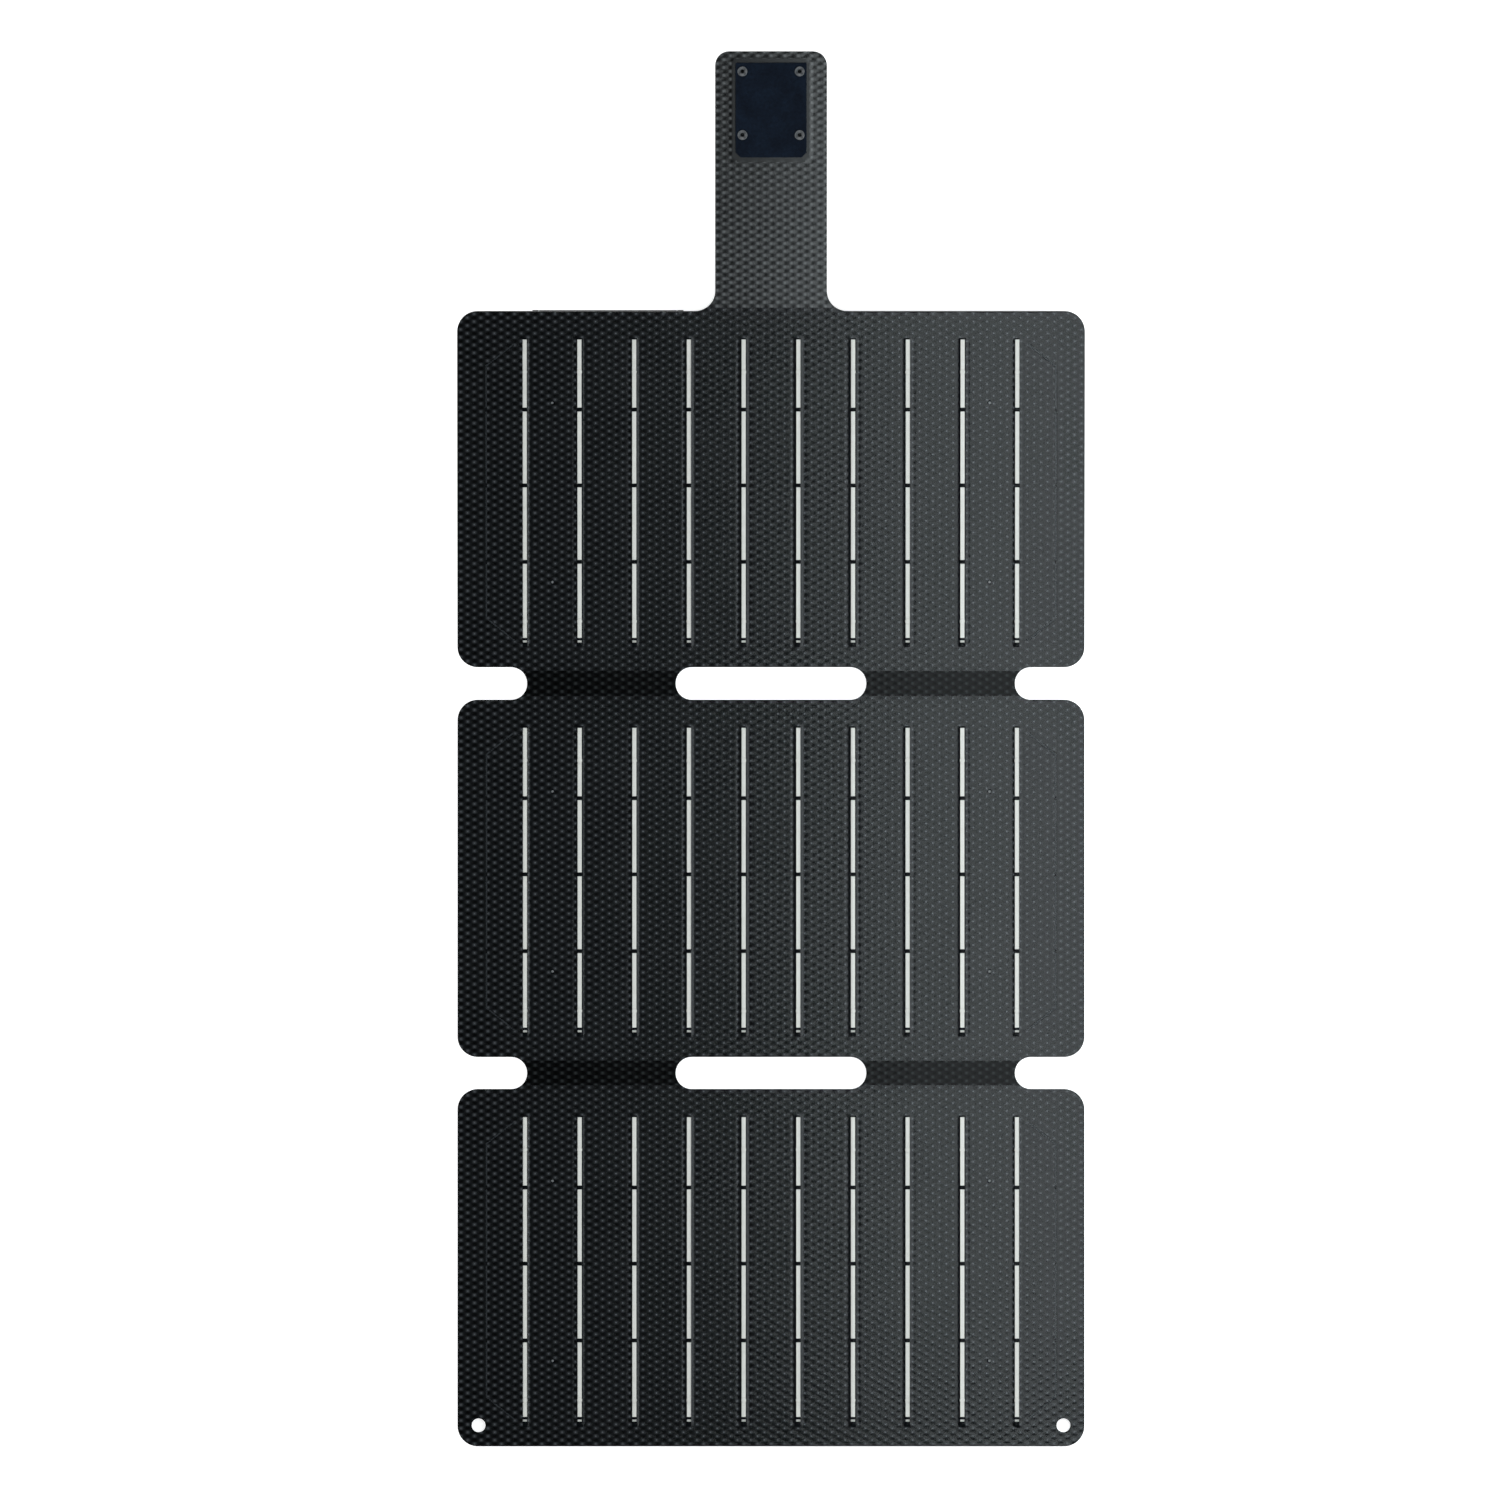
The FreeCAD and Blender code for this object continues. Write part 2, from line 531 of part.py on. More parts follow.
def fold_web(prefix, axis_place, rise, lean):
    """The film, backing and flat conductors that cross one fold, left and right of its slot."""
    webs = [(f"-{NOTCH_CENTRE}", f"-{SLOT_CENTRE}"), (SLOT_CENTRE, NOTCH_CENTRE)]
    half = "dims.link_width/2"
    series = [(f"-dims.link_place - {half}", f"-dims.link_place + {half}")]
    returning = [(f"dims.link_place - {half}", f"dims.link_place + {half}")]
    link = web_layer(prefix + "_series_link", axis_place, rise, lean, series, REAR_TOP, CELL_LOW)
    back_link = web_layer(prefix + "_return_link", axis_place, rise, lean, returning, BOARD_TOP,
                          f"({BOARD_TOP} + dims.ribbon_thickness)")
    links = doc.addObject("Part::Compound", prefix + "_conductors")
    links.Label = prefix + "_conductors"
    links.Links = [link, back_link]
    nodes.append(links)
    for name, low, high in (("_web_film", MID_LEVEL, FRONT), ("_web_backing", "0", MID_LEVEL)):
        layer = web_layer(prefix + name + "_sheet", axis_place, rise, lean, webs, low, high)
        pocket(layer, f"-2*{FRONT} - {rise}", f"4*{FRONT} + {rise}", circles=web_rounds("0"))
        hollowed(prefix + name, layer, [link, back_link])


def flap(place):
    """The closing flap: its bending root, three layers, the hook patch and four hollow rivets."""
    start, tip = f"({LUG_EDGE} + dims.flap_flex)", f"({EDGE} + dims.flap_length)"
    half = "(dims.flap_width/2)"
    for name, low, high in (("film", MID_LEVEL, FRONT), ("backing", "0", MID_LEVEL)):
        root = new_body("flap_root_" + name, place)
        pad(root, low, f"{high} - {low}", [rectangle(f"-{ROOT_CENTRE}", ROOT_CENTRE, LUG_EDGE, start)])
        waist = f"{EDGE} + dims.corner_radius"
        sides = [rectangle(f"-{ROOT_CENTRE} - 1", f"-{half}", waist, f"{start} + 1"),
                 rectangle(half, f"{ROOT_CENTRE} + 1", waist, f"{start} + 1")]
        pocket(root, low, f"{high} - {low}", circles=flap_rounds())
        pocket(root, low, f"{high} - {low}", outlines=sides)
    rivets = [(f"{way}*dims.rivet_pitch_across/2", f"{tip} - dims.rivet_end - {row}*dims.rivet_pitch_along")
              for way in (-1, 1) for row in (0, 1)]
    barrels = [(x, y, "dims.rivet_barrel/2") for x, y in rivets]

    def far_corner(edge):
        return upright(edge) and edge.BoundBox.YMin > worth(tip) - 1e-3

    for name, low, high in (("film", FILM_LOW, FRONT), ("core", "dims.backing", FILM_LOW),
                            ("backing", "0", "dims.backing")):
        layer = new_body("flap_" + name, place)
        pad(layer, low, f"{high} - {low}", [rectangle(f"-{half}", half, start, tip)])
        fillet(layer, "dims.flap_corner", far_corner)
        pocket(layer, low, f"{high} - {low}", circles=barrels)
    patch = new_body("hook_patch", place)
    side, top = "(dims.hook_width/2)", f"({tip} - dims.hook_end)"
    low, cut = f"({top} - dims.hook_length)", "dims.hook_cut"
    pad(patch, FRONT, "dims.hook_thickness", [[
        (f"-{side} + {cut}", low), (f"{side} - {cut}", low), (side, f"{low} + {cut}"), (side, top),
        (f"-{side}", top), (f"-{side}", f"{low} + {cut}"),
    ]])
    pocket(patch, FRONT, "dims.hook_thickness", circles=barrels)
    rivet = new_body("patch_rivets", place)
    patch_top = f"({FRONT} + dims.hook_thickness)"
    for low, height, across in (
        ("0", patch_top, "dims.rivet_barrel"),
        ("-dims.flange_thickness", "dims.flange_thickness", "dims.rivet_back_flange"),
        (patch_top, "dims.flange_thickness", "dims.rivet_flange"),
    ):
        pad(rivet, low, height, circles=[(x, y, f"{across}/2") for x, y in rivets])
    bore = [(x, y, "dims.rivet_bore/2") for x, y in rivets]
    pocket(rivet, "0", f"{patch_top} + dims.flange_thickness", circles=bore)


def loop_patch(place):
    """The soft patch on the middle panel's back, where the closed flap's hooks land."""
    axis = "(dims.lug_length + dims.flap_flex/2)"
    hook_middle = "(dims.flap_length - dims.hook_end - dims.hook_length/2)"
    middle = f"-({EDGE} + {axis} - ({hook_middle} - {axis}))"
    plate("loop_patch", place, "-dims.loop_thickness", "0",
          centred("0", middle, "dims.loop_width", "dims.loop_length"), "dims.loop_corner")


def box_outline(inset="0"):
    return centred(BOX_X, BOX_Y, "dims.box_width", "dims.box_length", inset)


def screw_circles(radius):
    across, along = "(dims.box_width/2 - dims.post_inset)", "(dims.box_length/2 - dims.post_inset)"
    return [(f"{BOX_X} + {i}*{across}", f"{BOX_Y} + {j}*{along}", radius) for i in (-1, 1) for j in (-1, 1)]


def lead_circles(radius):
    return [(x, y, radius) for x, y in LEADS]


def controller_case(place):
    """Adhesive pad, base, gasket, lid and the four screws that hold them together."""
    holes = lead_circles("dims.lead_hole/2")
    plate("adhesive_pad", place, f"-{FLOOR_TOP}", "0", box_outline("dims.pad_inset"),
          "dims.box_corner - dims.pad_inset", holes)

    base = plate("controller_base", place, f"-{FLOOR_LOW}", f"-{FLOOR_TOP}", box_outline(), "dims.box_corner", holes)
    pad(base, f"-{POST_END}", "dims.post_height", circles=screw_circles("dims.post_diameter/2"))
    ledge = "(dims.box_length/2 - dims.post_inset)"
    ledges = [centred(BOX_X, f"{BOX_Y} - {way}*{ledge}", "dims.box_width/2", "dims.ledge_width")
              for way in (-0.6, 0.6)]
    pad(base, f"-{CIRCUIT_TOP}", "dims.board_lift", ledges)
    pocket(base, f"-{POST_END}", "dims.post_height", circles=screw_circles("dims.screw_diameter/2"))

    seal = plate("lid_gasket", place, f"-{LID_START}", f"-{FLOOR_LOW}", box_outline(), "dims.box_corner")
    inner = plate("gasket_middle", place, f"-{LID_START}", f"-{FLOOR_LOW}", box_outline("dims.box_wall"),
                  "dims.box_corner - dims.box_wall", is_node=False)
    nodes.remove(seal)
    seal.Label = "gasket_outside"
    hollowed("lid_gasket", seal, [inner])

    controller_lid(place)

    screws = new_body("lid_screws", place)
    head_low = f"({BOX_DEPTH} - dims.screw_recess + dims.screw_head_height)"
    pad(screws, f"-{head_low}", "dims.screw_head_height", circles=screw_circles("dims.screw_head/2"))
    shank = f"({BOX_DEPTH} - dims.screw_recess - {FLOOR_LOW})"
    pad(screws, f"-({BOX_DEPTH} - dims.screw_recess)", shank, circles=screw_circles("dims.screw_diameter/2"))
    cross = ("dims.screw_cross_length", "dims.screw_cross_width")
    for width, length in (cross, cross[::-1]):
        slots = [centred(x, y, width, length) for x, y, radius in screw_circles("dims.screw_head/2")]
        pocket(screws, f"-{head_low}", "dims.screw_head_height/2", slots)


def sockets():
    """Each socket: its side, width, height and length."""
    return [(-1, "dims.wide_socket_width", "dims.wide_socket_height", "dims.wide_socket_length"),
            (1, "dims.slim_socket_width", "dims.slim_socket_height", "dims.slim_socket_length")]


def socket_outline(way, width, height, grow):
    """The mouth of a socket in the XZ plane, standing on the circuit board."""
    x = f"{BOX_X} + {way}*dims.socket_offset"
    return centred(x, f"-({CIRCUIT_LOW} + {height}/2)", width, height, f"-({grow})")


def controller_lid(place):
    """The moulded lid: walls, screw posts, openings for the sockets and lamp, and hinge ears."""
    lid = new_body("controller_lid", place)
    pad(lid, f"-{BOX_DEPTH}", f"{BOX_DEPTH} - {LID_START}", [box_outline()])
    fillet(lid, "dims.box_corner", upright)
    bottom = -worth(BOX_DEPTH)
    fillet(lid, "dims.box_edge_round", lambda edge: edge.BoundBox.ZMax < bottom + 1e-3)
    pocket(lid, f"-{ROOF_TOP}", f"{ROOF_TOP} - {LID_START}", [box_outline("dims.box_wall")])
    pad(lid, f"-{ROOF_TOP}", f"{ROOF_TOP} - {POST_END}", circles=screw_circles("dims.post_diameter/2"))
    clear = "(dims.screw_diameter + dims.screw_clearance)/2"
    pocket(lid, f"-{BOX_DEPTH}", BOX_DEPTH, circles=screw_circles(clear))
    pocket(lid, f"-{BOX_DEPTH}", "dims.screw_recess", circles=screw_circles("dims.screw_head/2 + dims.screw_head_gap"))
    for way, width, height, length in sockets():
        mouth = socket_outline(way, width, height, "dims.socket_gap")
        pocket(lid, f"-{BOX_FAR}", "dims.box_wall", [mouth], role="XZ_Plane")
    pocket(lid, f"-{BOX_DEPTH}", "dims.box_roof", circles=[(BOX_X, LAMP_Y, "dims.lamp_diameter/2 + dims.socket_gap")])
    for way in (-1, 1):
        middle = f"({BOX_X} + {way}*(dims.cover_width/2 + dims.socket_gap + dims.ear_width/2))"
        ear = hinge_ear()
        pad(lid, f"{middle} - dims.ear_width/2", "dims.ear_width", [ear], role="YZ_Plane")
    pin_hole = [(HINGE_Y, HINGE_Z, "dims.pin_diameter/2")]
    reach = "(dims.cover_width/2 + dims.socket_gap + dims.ear_width)"
    pocket(lid, f"{BOX_X} - {reach}", f"2*{reach}", circles=pin_hole, role="YZ_Plane")


def hinge_ear():
    """An ear of the lid, from its wall out round the hinge pin."""
    low, high = f"{HINGE_Z} - dims.knuckle_diameter/2", f"{HINGE_Z} + dims.knuckle_diameter/2"
    tip, cut = f"{HINGE_Y} + dims.knuckle_diameter/2", "dims.knuckle_diameter/4"
    return [(f"{BOX_FAR} - dims.box_wall/2", f"{low} + {cut}"), (f"{tip} - {cut}", low), (tip, f"{low} + {cut}"),
            (tip, f"{high} - {cut}"), (f"{tip} - {cut}", high), (f"{BOX_FAR} - dims.box_wall/2", high)]


def dust_cover(place):
    """The rubber cover over both sockets, on a pin between the lid's ears."""
    cover = new_body("dust_cover", place)
    half = "(dims.cover_width/2)"
    pad(cover, f"{BOX_X} - {half}", "dims.cover_width", circles=[(HINGE_Y, HINGE_Z, "dims.knuckle_diameter/2")],
        role="YZ_Plane")
    inner = f"{BOX_FAR} + dims.cover_gap"
    leaf = rectangle(inner, f"{inner} + dims.cover_thickness", f"{HINGE_Z} + dims.pin_diameter/2",
                     f"-({LID_START} + dims.cover_gap)")
    pad(cover, f"{BOX_X} - {half}", "dims.cover_width", [leaf], role="YZ_Plane")
    tab = rectangle(inner, f"{inner} + 2*dims.cover_thickness",
                    f"-({LID_START} + dims.cover_gap + dims.cover_thickness)", f"-({LID_START} + dims.cover_gap)")
    pad(cover, f"{BOX_X} - dims.cover_width/6", "dims.cover_width/3", [tab], role="YZ_Plane")
    pocket(cover, f"{BOX_X} - {half}", "dims.cover_width",
           circles=[(HINGE_Y, HINGE_Z, "dims.pin_diameter/2 + dims.pin_clearance")], role="YZ_Plane")
    pin = new_body("cover_pin", place)
    reach = "(dims.cover_width/2 + dims.socket_gap + dims.ear_width)"
    pad(pin, f"{BOX_X} - {reach}", f"2*{reach}", circles=[(HINGE_Y, HINGE_Z, "dims.pin_diameter/2")],
        role="YZ_Plane")


def controller_insides(place):
    """Circuit board with its parts, both receptacles and the two leads from the cells."""
    board = new_body("circuit_board", place)
    notch = "(dims.post_inset + dims.post_diameter/2 + dims.circuit_clearance)"
    left, right = f"{BOX_X} - dims.box_width/2", f"{BOX_X} + dims.box_width/2"
    low, high = f"{BOX_Y} - dims.box_length/2", f"{BOX_Y} + dims.box_length/2"
    skirt = "(dims.box_wall + dims.circuit_clearance)"
    pad(board, f"-{CIRCUIT_LOW}", "dims.circuit_thickness", [[
        (f"{left} + {notch}", f"{low} + {skirt}"), (f"{right} - {notch}", f"{low} + {skirt}"),
        (f"{right} - {notch}", f"{low} + {notch}"), (f"{right} - {skirt}", f"{low} + {notch}"),
        (f"{right} - {skirt}", f"{high} - {notch}"), (f"{right} - {notch}", f"{high} - {notch}"),
        (f"{right} - {notch}", f"{high} - {skirt}"), (f"{left} + {notch}", f"{high} - {skirt}"),
        (f"{left} + {notch}", f"{high} - {notch}"), (f"{left} + {skirt}", f"{high} - {notch}"),
        (f"{left} + {skirt}", f"{low} + {notch}"), (f"{left} + {notch}", f"{low} + {notch}"),
    ]])
    pocket(board, f"-{CIRCUIT_LOW}", "dims.circuit_thickness", circles=lead_circles("dims.lead_diameter/2"))

    names = ("wide_socket", "slim_socket")
    for name, (way, width, height, length) in zip(names, sockets()):
        shell = new_body(name + "_shell", place)
        mouth_y = f"({BOX_FAR} - dims.cover_gap)"
        pad(shell, f"-{mouth_y}", length, [socket_outline(way, width, height, "0")], role="XZ_Plane")
        round_by = f"{height}/2 - 0.01" if way > 0 else "dims.socket_wall"
        fillet(shell, round_by, lambda edge: edge.BoundBox.XLength + edge.BoundBox.ZLength < 1e-6)
        inside = socket_outline(way, width, height, "-dims.socket_wall")
        pocket(shell, f"-{mouth_y}", f"{length} - dims.socket_wall", [inside], role="XZ_Plane")
        tongue = new_body(name + "_tongue", place)
        core = f"({mouth_y} - {length} + dims.socket_wall)"
        block = socket_outline(way, width, height, "-2*dims.socket_wall")
        pad(tongue, f"-({core} + {length}/5)", f"{length}/5", [block], role="XZ_Plane")
        x, middle = f"{BOX_X} + {way}*dims.socket_offset", f"-({CIRCUIT_LOW} + {height}/2)"
        blade = centred(x, middle, f"{width}*0.75", f"{height}*0.3")
        pad(tongue, f"-({mouth_y} - {length}/12)", f"{length} - {length}/12 - dims.socket_wall", [blade], role="XZ_Plane")

    coil_x, row = f"{BOX_X} - dims.socket_offset", f"{low} + dims.parts_row"
    coil = plate("power_inductor", place, f"-({CIRCUIT_LOW} + dims.inductor_height)", f"-{CIRCUIT_LOW}",
                 centred(coil_x, row, "dims.inductor_size", "dims.inductor_size"), "dims.inductor_corner")
    pad(coil, f"-({CIRCUIT_LOW} + dims.inductor_height + dims.inductor_cap_height)", "dims.inductor_cap_height",
        circles=[(coil_x, row, "dims.inductor_cap/2")])
    cans = new_body("capacitors", place)
    pad(cans, f"-({CIRCUIT_LOW} + dims.can_height)", "dims.can_height",
        circles=[(f"{BOX_X} + dims.can_place + {i}*dims.can_pitch", row, "dims.can_diameter/2") for i in (0, 1)])
    chips = new_body("regulator_chips", place)
    chip_outlines = [centred(f"{BOX_X} + {way}*dims.chip_pitch/2", f"{low} + dims.chip_row", "dims.chip_width",
                             "dims.chip_length") for way in (-1, 1)]
    chip_outlines.append(centred(f"{BOX_X} - dims.driver_place", f"{low} + dims.driver_row", "dims.driver_width",
                                 "dims.driver_length"))
    pad(chips, f"-({CIRCUIT_LOW} + dims.chip_height)", "dims.chip_height", chip_outlines)
    lamp = new_body("indicator_lamp", place)
    pad(lamp, f"-({BOX_DEPTH} - dims.cover_gap)", f"{BOX_DEPTH} - dims.cover_gap - {CIRCUIT_LOW}",
        circles=[(BOX_X, LAMP_Y, "dims.lamp_diameter/2")])
    leads = new_body("input_leads", place)
    for (x, y), level in zip(LEADS, (REAR_TOP, BOARD_TOP)):
        pad(leads, f"-{CIRCUIT_LOW}", f"{CIRCUIT_LOW} + {level}", circles=[(x, y, "dims.lead_diameter/2")])


def check_and_write():
    """Stops on any failed object or shape, then writes each node's solids."""
    doc.recompute()
    failed = [item.Label for item in doc.Objects if "Invalid" in item.State or "Error" in item.State]
    failed += [node.Label for node in nodes if node.Shape.isNull() or not node.Shape.isValid()]
    failed += [node.Label for node in nodes if not node.Shape.isNull() and not node.Shape.Solids]
    if failed:
        raise RuntimeError("failed: " + ", ".join(failed))
    os.makedirs("parts", exist_ok=True)
    for node in nodes:
        node.Shape.exportStep(f"parts/{node.Label}.step")
        print(node.Label, len(node.Shape.Solids), round(node.Shape.Volume, 2))


hanging_holes = [(f"{way}*({SIDE} - dims.hole_inset)", f"-({EDGE} - dims.hole_inset)", "dims.hole_diameter/2")
                 for way in (-1, 1)]
panel("upper", UPPER, folds=(-1,), has_flap=True, rear_holes=lead_circles("dims.lead_hole/2"))
panel("middle", MIDDLE, folds=(-1, 1))
panel("lower", LOWER, folds=(1,), through=hanging_holes)
fold_web("upper_fold", UPPER_AXIS, "dims.upper_axis_rise", LEAN)
fold_web("lower_fold", LOWER_AXIS, "dims.lower_axis_rise", 0)
flap(UPPER)
loop_patch(MIDDLE)
controller_case(UPPER)
controller_insides(UPPER)
dust_cover(UPPER)
check_and_write()
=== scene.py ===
import bpy, bmesh, math
from mathutils import Matrix, Vector, noise


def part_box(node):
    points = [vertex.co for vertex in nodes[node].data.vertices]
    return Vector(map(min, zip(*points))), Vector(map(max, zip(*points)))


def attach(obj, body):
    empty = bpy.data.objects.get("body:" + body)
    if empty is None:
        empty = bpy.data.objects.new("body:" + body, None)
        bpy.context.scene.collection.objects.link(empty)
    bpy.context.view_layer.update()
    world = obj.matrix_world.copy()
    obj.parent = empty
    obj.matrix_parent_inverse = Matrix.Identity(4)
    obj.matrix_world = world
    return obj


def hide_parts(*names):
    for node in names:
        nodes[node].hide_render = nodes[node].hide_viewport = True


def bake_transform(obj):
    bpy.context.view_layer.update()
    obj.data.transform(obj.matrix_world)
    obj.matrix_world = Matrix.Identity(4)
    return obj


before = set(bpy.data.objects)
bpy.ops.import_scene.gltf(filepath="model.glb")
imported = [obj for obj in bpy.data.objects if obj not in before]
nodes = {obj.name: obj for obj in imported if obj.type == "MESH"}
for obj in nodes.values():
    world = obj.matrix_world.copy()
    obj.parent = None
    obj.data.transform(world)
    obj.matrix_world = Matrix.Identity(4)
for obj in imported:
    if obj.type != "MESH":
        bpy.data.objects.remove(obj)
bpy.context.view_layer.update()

# ---------------------------------------------------------------------------
# The studio: a white table board, one small soft box above the sheet's right
# side that glances off the film there, and large soft boxes on the other sides.
MM = 0.001
scene = bpy.context.scene
scene.view_settings.view_transform = "Standard"
scene.view_settings.look = "None"

camera = bpy.data.objects.new("camera", bpy.data.cameras.new("camera"))
scene.collection.objects.link(camera)
CAMERA_HEIGHT = 8.0
FIELD = 0.4787
camera.location = (-0.0067, -0.0001, CAMERA_HEIGHT)
camera.data.sensor_width = 36
camera.data.lens = 36 * CAMERA_HEIGHT / FIELD
camera.data.clip_end = 20
scene.camera = camera


def soft_box(name, place, aim, width, height, watts, tint=(1, 1, 1)):
    lamp = bpy.data.lights.new(name, "AREA")
    lamp.shape, lamp.size, lamp.size_y = "RECTANGLE", width, height
    lamp.energy, lamp.color = watts, tint
    holder = bpy.data.objects.new(name, lamp)
    holder.location = place
    holder.visible_camera = False
    holder.rotation_euler = (Vector(aim) - Vector(place)).to_track_quat("-Z", "Y").to_euler()
    scene.collection.objects.link(holder)


soft_box("right_box", (0.26, -0.045, 0.46), (0.05, -0.045, 0), 0.42, 0.53, 2.5, tint=(0.88, 0.97, 1.0))
soft_box("left_box", (-0.9, 0.0, 0.70), (0, 0, 0), 1.0, 1.2, 6.4)
soft_box("near_box", (0.1, -1.1, 0.70), (0, 0, 0), 1.3, 0.9, 8.3)
soft_box("far_box", (0.1, 1.1, 0.70), (0, 0, 0), 1.3, 0.9, 8.3)

world = bpy.data.worlds.new("room")
world.use_nodes = True
world.node_tree.nodes["Background"].inputs["Color"].default_value = (0.9, 0.95, 1.0, 1)
world.node_tree.nodes["Background"].inputs["Strength"].default_value = 0.03
scene.world = world


def new_finish(name, **sockets):
    """A material with its Principled shader, whose named sockets are set."""
    material = bpy.data.materials.new(name)
    material.use_nodes = True
    shader = material.node_tree.nodes["Principled BSDF"]
    for socket, value in sockets.items():
        shader.inputs[socket.replace("_", " ")].default_value = value
    return material, material.node_tree, shader


def wire(tree, *pairs):
    """Links each pair of an output and an input."""
    for source, target in pairs:
        tree.links.new(source, target)


def add(tree, kind, **values):
    """A node whose properties, or numbered or named inputs, are set."""
    node = tree.nodes.new(kind)
    for key, value in values.items():
        if key.startswith("in_"):
            slot = key[3:]
            node.inputs[int(slot) if slot.isdigit() else slot.replace("_", " ")].default_value = value
        else:
            setattr(node, key, value)
    return node


def new_piece(name, bm, *finishes):
    """The finished mesh as an object at the origin."""
    mesh = bpy.data.meshes.new(name)
    bm.to_mesh(mesh)
    bm.free()
    piece = bpy.data.objects.new(name, mesh)
    scene.collection.objects.link(piece)
    for finish in finishes:
        mesh.materials.append(finish)
    return piece


def clouded(name, scale, dark, light, detail=2.0, **sockets):
    """A finish whose colour drifts between two tones; its noise drives what else varies with it."""
    material, tree, shader = new_finish(name, **sockets)
    cloud = add(tree, "ShaderNodeTexNoise", in_Scale=scale, in_Detail=detail)
    tone = add(tree, "ShaderNodeMix", data_type="RGBA", in_6=(*dark, 1), in_7=(*light, 1))
    wire(tree, (add(tree, "ShaderNodeTexCoord").outputs["Object"], cloud.inputs["Vector"]),
         (cloud.outputs["Fac"], tone.inputs[0]), (tone.outputs[2], shader.inputs["Base Color"]))
    return material, tree, shader, cloud


BOARD_HALF, BOARD_DROP = 3.0, 0.15 * MM
bm = bmesh.new()
bmesh.ops.create_grid(bm, x_segments=8, y_segments=8, size=BOARD_HALF)
bmesh.ops.translate(bm, verts=bm.verts, vec=(0, 0, -BOARD_DROP))
board_paint = clouded("table_board", 40.0, (0.90, 0.90, 0.90), (0.93, 0.93, 0.93), Roughness=0.9,
                      Specular_IOR_Level=0.0, Emission_Color=(1, 1, 1, 1), Emission_Strength=0.7)[0]
new_piece("table_board", bm, board_paint)

# ---------------------------------------------------------------------------
# The clear embossed front sheets of the three panels: a fluoropolymer film hot
# pressed with a staggered lattice of dimples, bonded over the cells by a clear
# seal. Each is one sheet with a shallow recess where the cells lie under it.
# Sizes are in millimetres: a panel's own from the middle of its back, and the fold
# axes' from the middle of the object.
LEAN = math.radians(6.48341)
GROUND_GAP, FOLD_AXIS, FRONT = 0.8, 62.1, 2.0
UPPER_AXIS_Y, UPPER_AXIS_Z, UPPER_RISE = 21.04865, 4.3, 1.5
LOWER_AXIS_Y, LOWER_AXIS_Z, LOWER_RISE = -103.15135, 3.1, 0.3
UPPER = (Matrix.Translation((0, UPPER_AXIS_Y, UPPER_AXIS_Z)) @ Matrix.Rotation(LEAN, 4, "X")
         @ Matrix.Translation((0, FOLD_AXIS, -FRONT - UPPER_RISE)))
MIDDLE = Matrix.Translation((0, -41.05135, GROUND_GAP))
LOWER = Matrix.Translation((0, -165.25135, GROUND_GAP))
SIDE, EDGE, LUG, CORNER = 100.0, 57.0, 58.2, 6.5
ARC, SLOT_END, NOTCH_END = 5.1, 25.3, 82.9
ROOT_ARC_X, ROOT_ARC_Y = 24.3, 63.5
HOLE_X, HOLE_Y, HOLE = 93.3, -50.3, 2.2
ACROSS, ALONG = 2.15, 2.5
RIBBON_PITCH = 17.44
RIBBONS = [(i - 4.5) * RIBBON_PITCH for i in range(10)]
RIBBON_FOOT, RIBBON_HEAD = -50.5, 48.2


def box_edge(x, y, left, right, low, high, corner=0.0):
    """How far a point lies outside a rectangle with rounded corners."""
    dx = abs(x - (left + right) / 2) - (right - left) / 2 + corner
    dy = abs(y - (low + high) / 2) - (high - low) / 2 + corner
    return math.hypot(max(dx, 0), max(dy, 0)) + min(max(dx, dy), 0) - corner


def fold_side(x, y, reach):
    """A panel's reach into a fold, between the slot's and the notch's round ends."""
    lug = box_edge(abs(x), y, SLOT_END, NOTCH_END, EDGE - 1, reach)
    rounds = min(math.hypot(abs(x) - SLOT_END, y - FOLD_AXIS), math.hypot(abs(x) - NOTCH_END, y - FOLD_AXIS))
    return lug, ARC - rounds


END_ZONE = 10


def panel_edge(top, bottom):
    """A panel's outline, whose two ends meet a fold or the flap, or have the hanging holes."""
    def edge(x, y):
        outline = box_edge(x, y, -SIDE, SIDE, -EDGE, EDGE, CORNER)
        if abs(y) < EDGE - END_ZONE:
            return outline
        kind, up = (top, y) if y > 0 else (bottom, -y)
        if kind == "fold":
            lug, cut = fold_side(x, up, LUG)
            outline = max(min(outline, lug), cut)
        elif kind == "flap":
            lug = box_edge(x, up, -ROOT_ARC_X, ROOT_ARC_X, EDGE - 1, LUG)
            outline = max(min(outline, lug), CORNER - math.hypot(abs(x) - ROOT_ARC_X, up - ROOT_ARC_Y))
        else:
            outline = max(outline, HOLE - math.hypot(abs(x) - HOLE_X, y - HOLE_Y))
        return outline
    return edge


NET, BUMP_RISE, DIMPLE_DROP, UNEVEN = FRONT - 0.10, 0.036, 0.060, 0.010


def pressed_height(x, y):
    """The film's upper face: a level net with bumps and dimples by turns along each lattice column."""
    column = math.cos(math.pi * x / ACROSS)
    wave = column * math.cos(2 * math.pi * y / ALONG)
    deep = 1 + 0.35 * noise.noise(Vector((x / 23, y / 19, 1.7)))
    relief = BUMP_RISE * max(0, -wave) ** 1.2 * column ** 2 - DIMPLE_DROP * max(0, wave) ** 1.4
    return NET + relief * deep + UNEVEN * noise.noise(Vector((x / 0.9, y / 0.8, 4.2)))


CELL_SIDE, CELL_MIDDLE, CELL_REACH = 91.0, -0.9, 47.55
CUT_ACROSS, CUT_ALONG, BARE_RIM = 8.8, 7.0, 0.5
MARKS = [(x, y) for x in (-69.7, 69.7) for y in (27.7, -29.7)]
WINDOW, HALF_WINDOW = 10, 5
RIBBON_CLEAR, MARK_CLEAR, RIM_CLEAR = 0.9, 0.6, 0.54


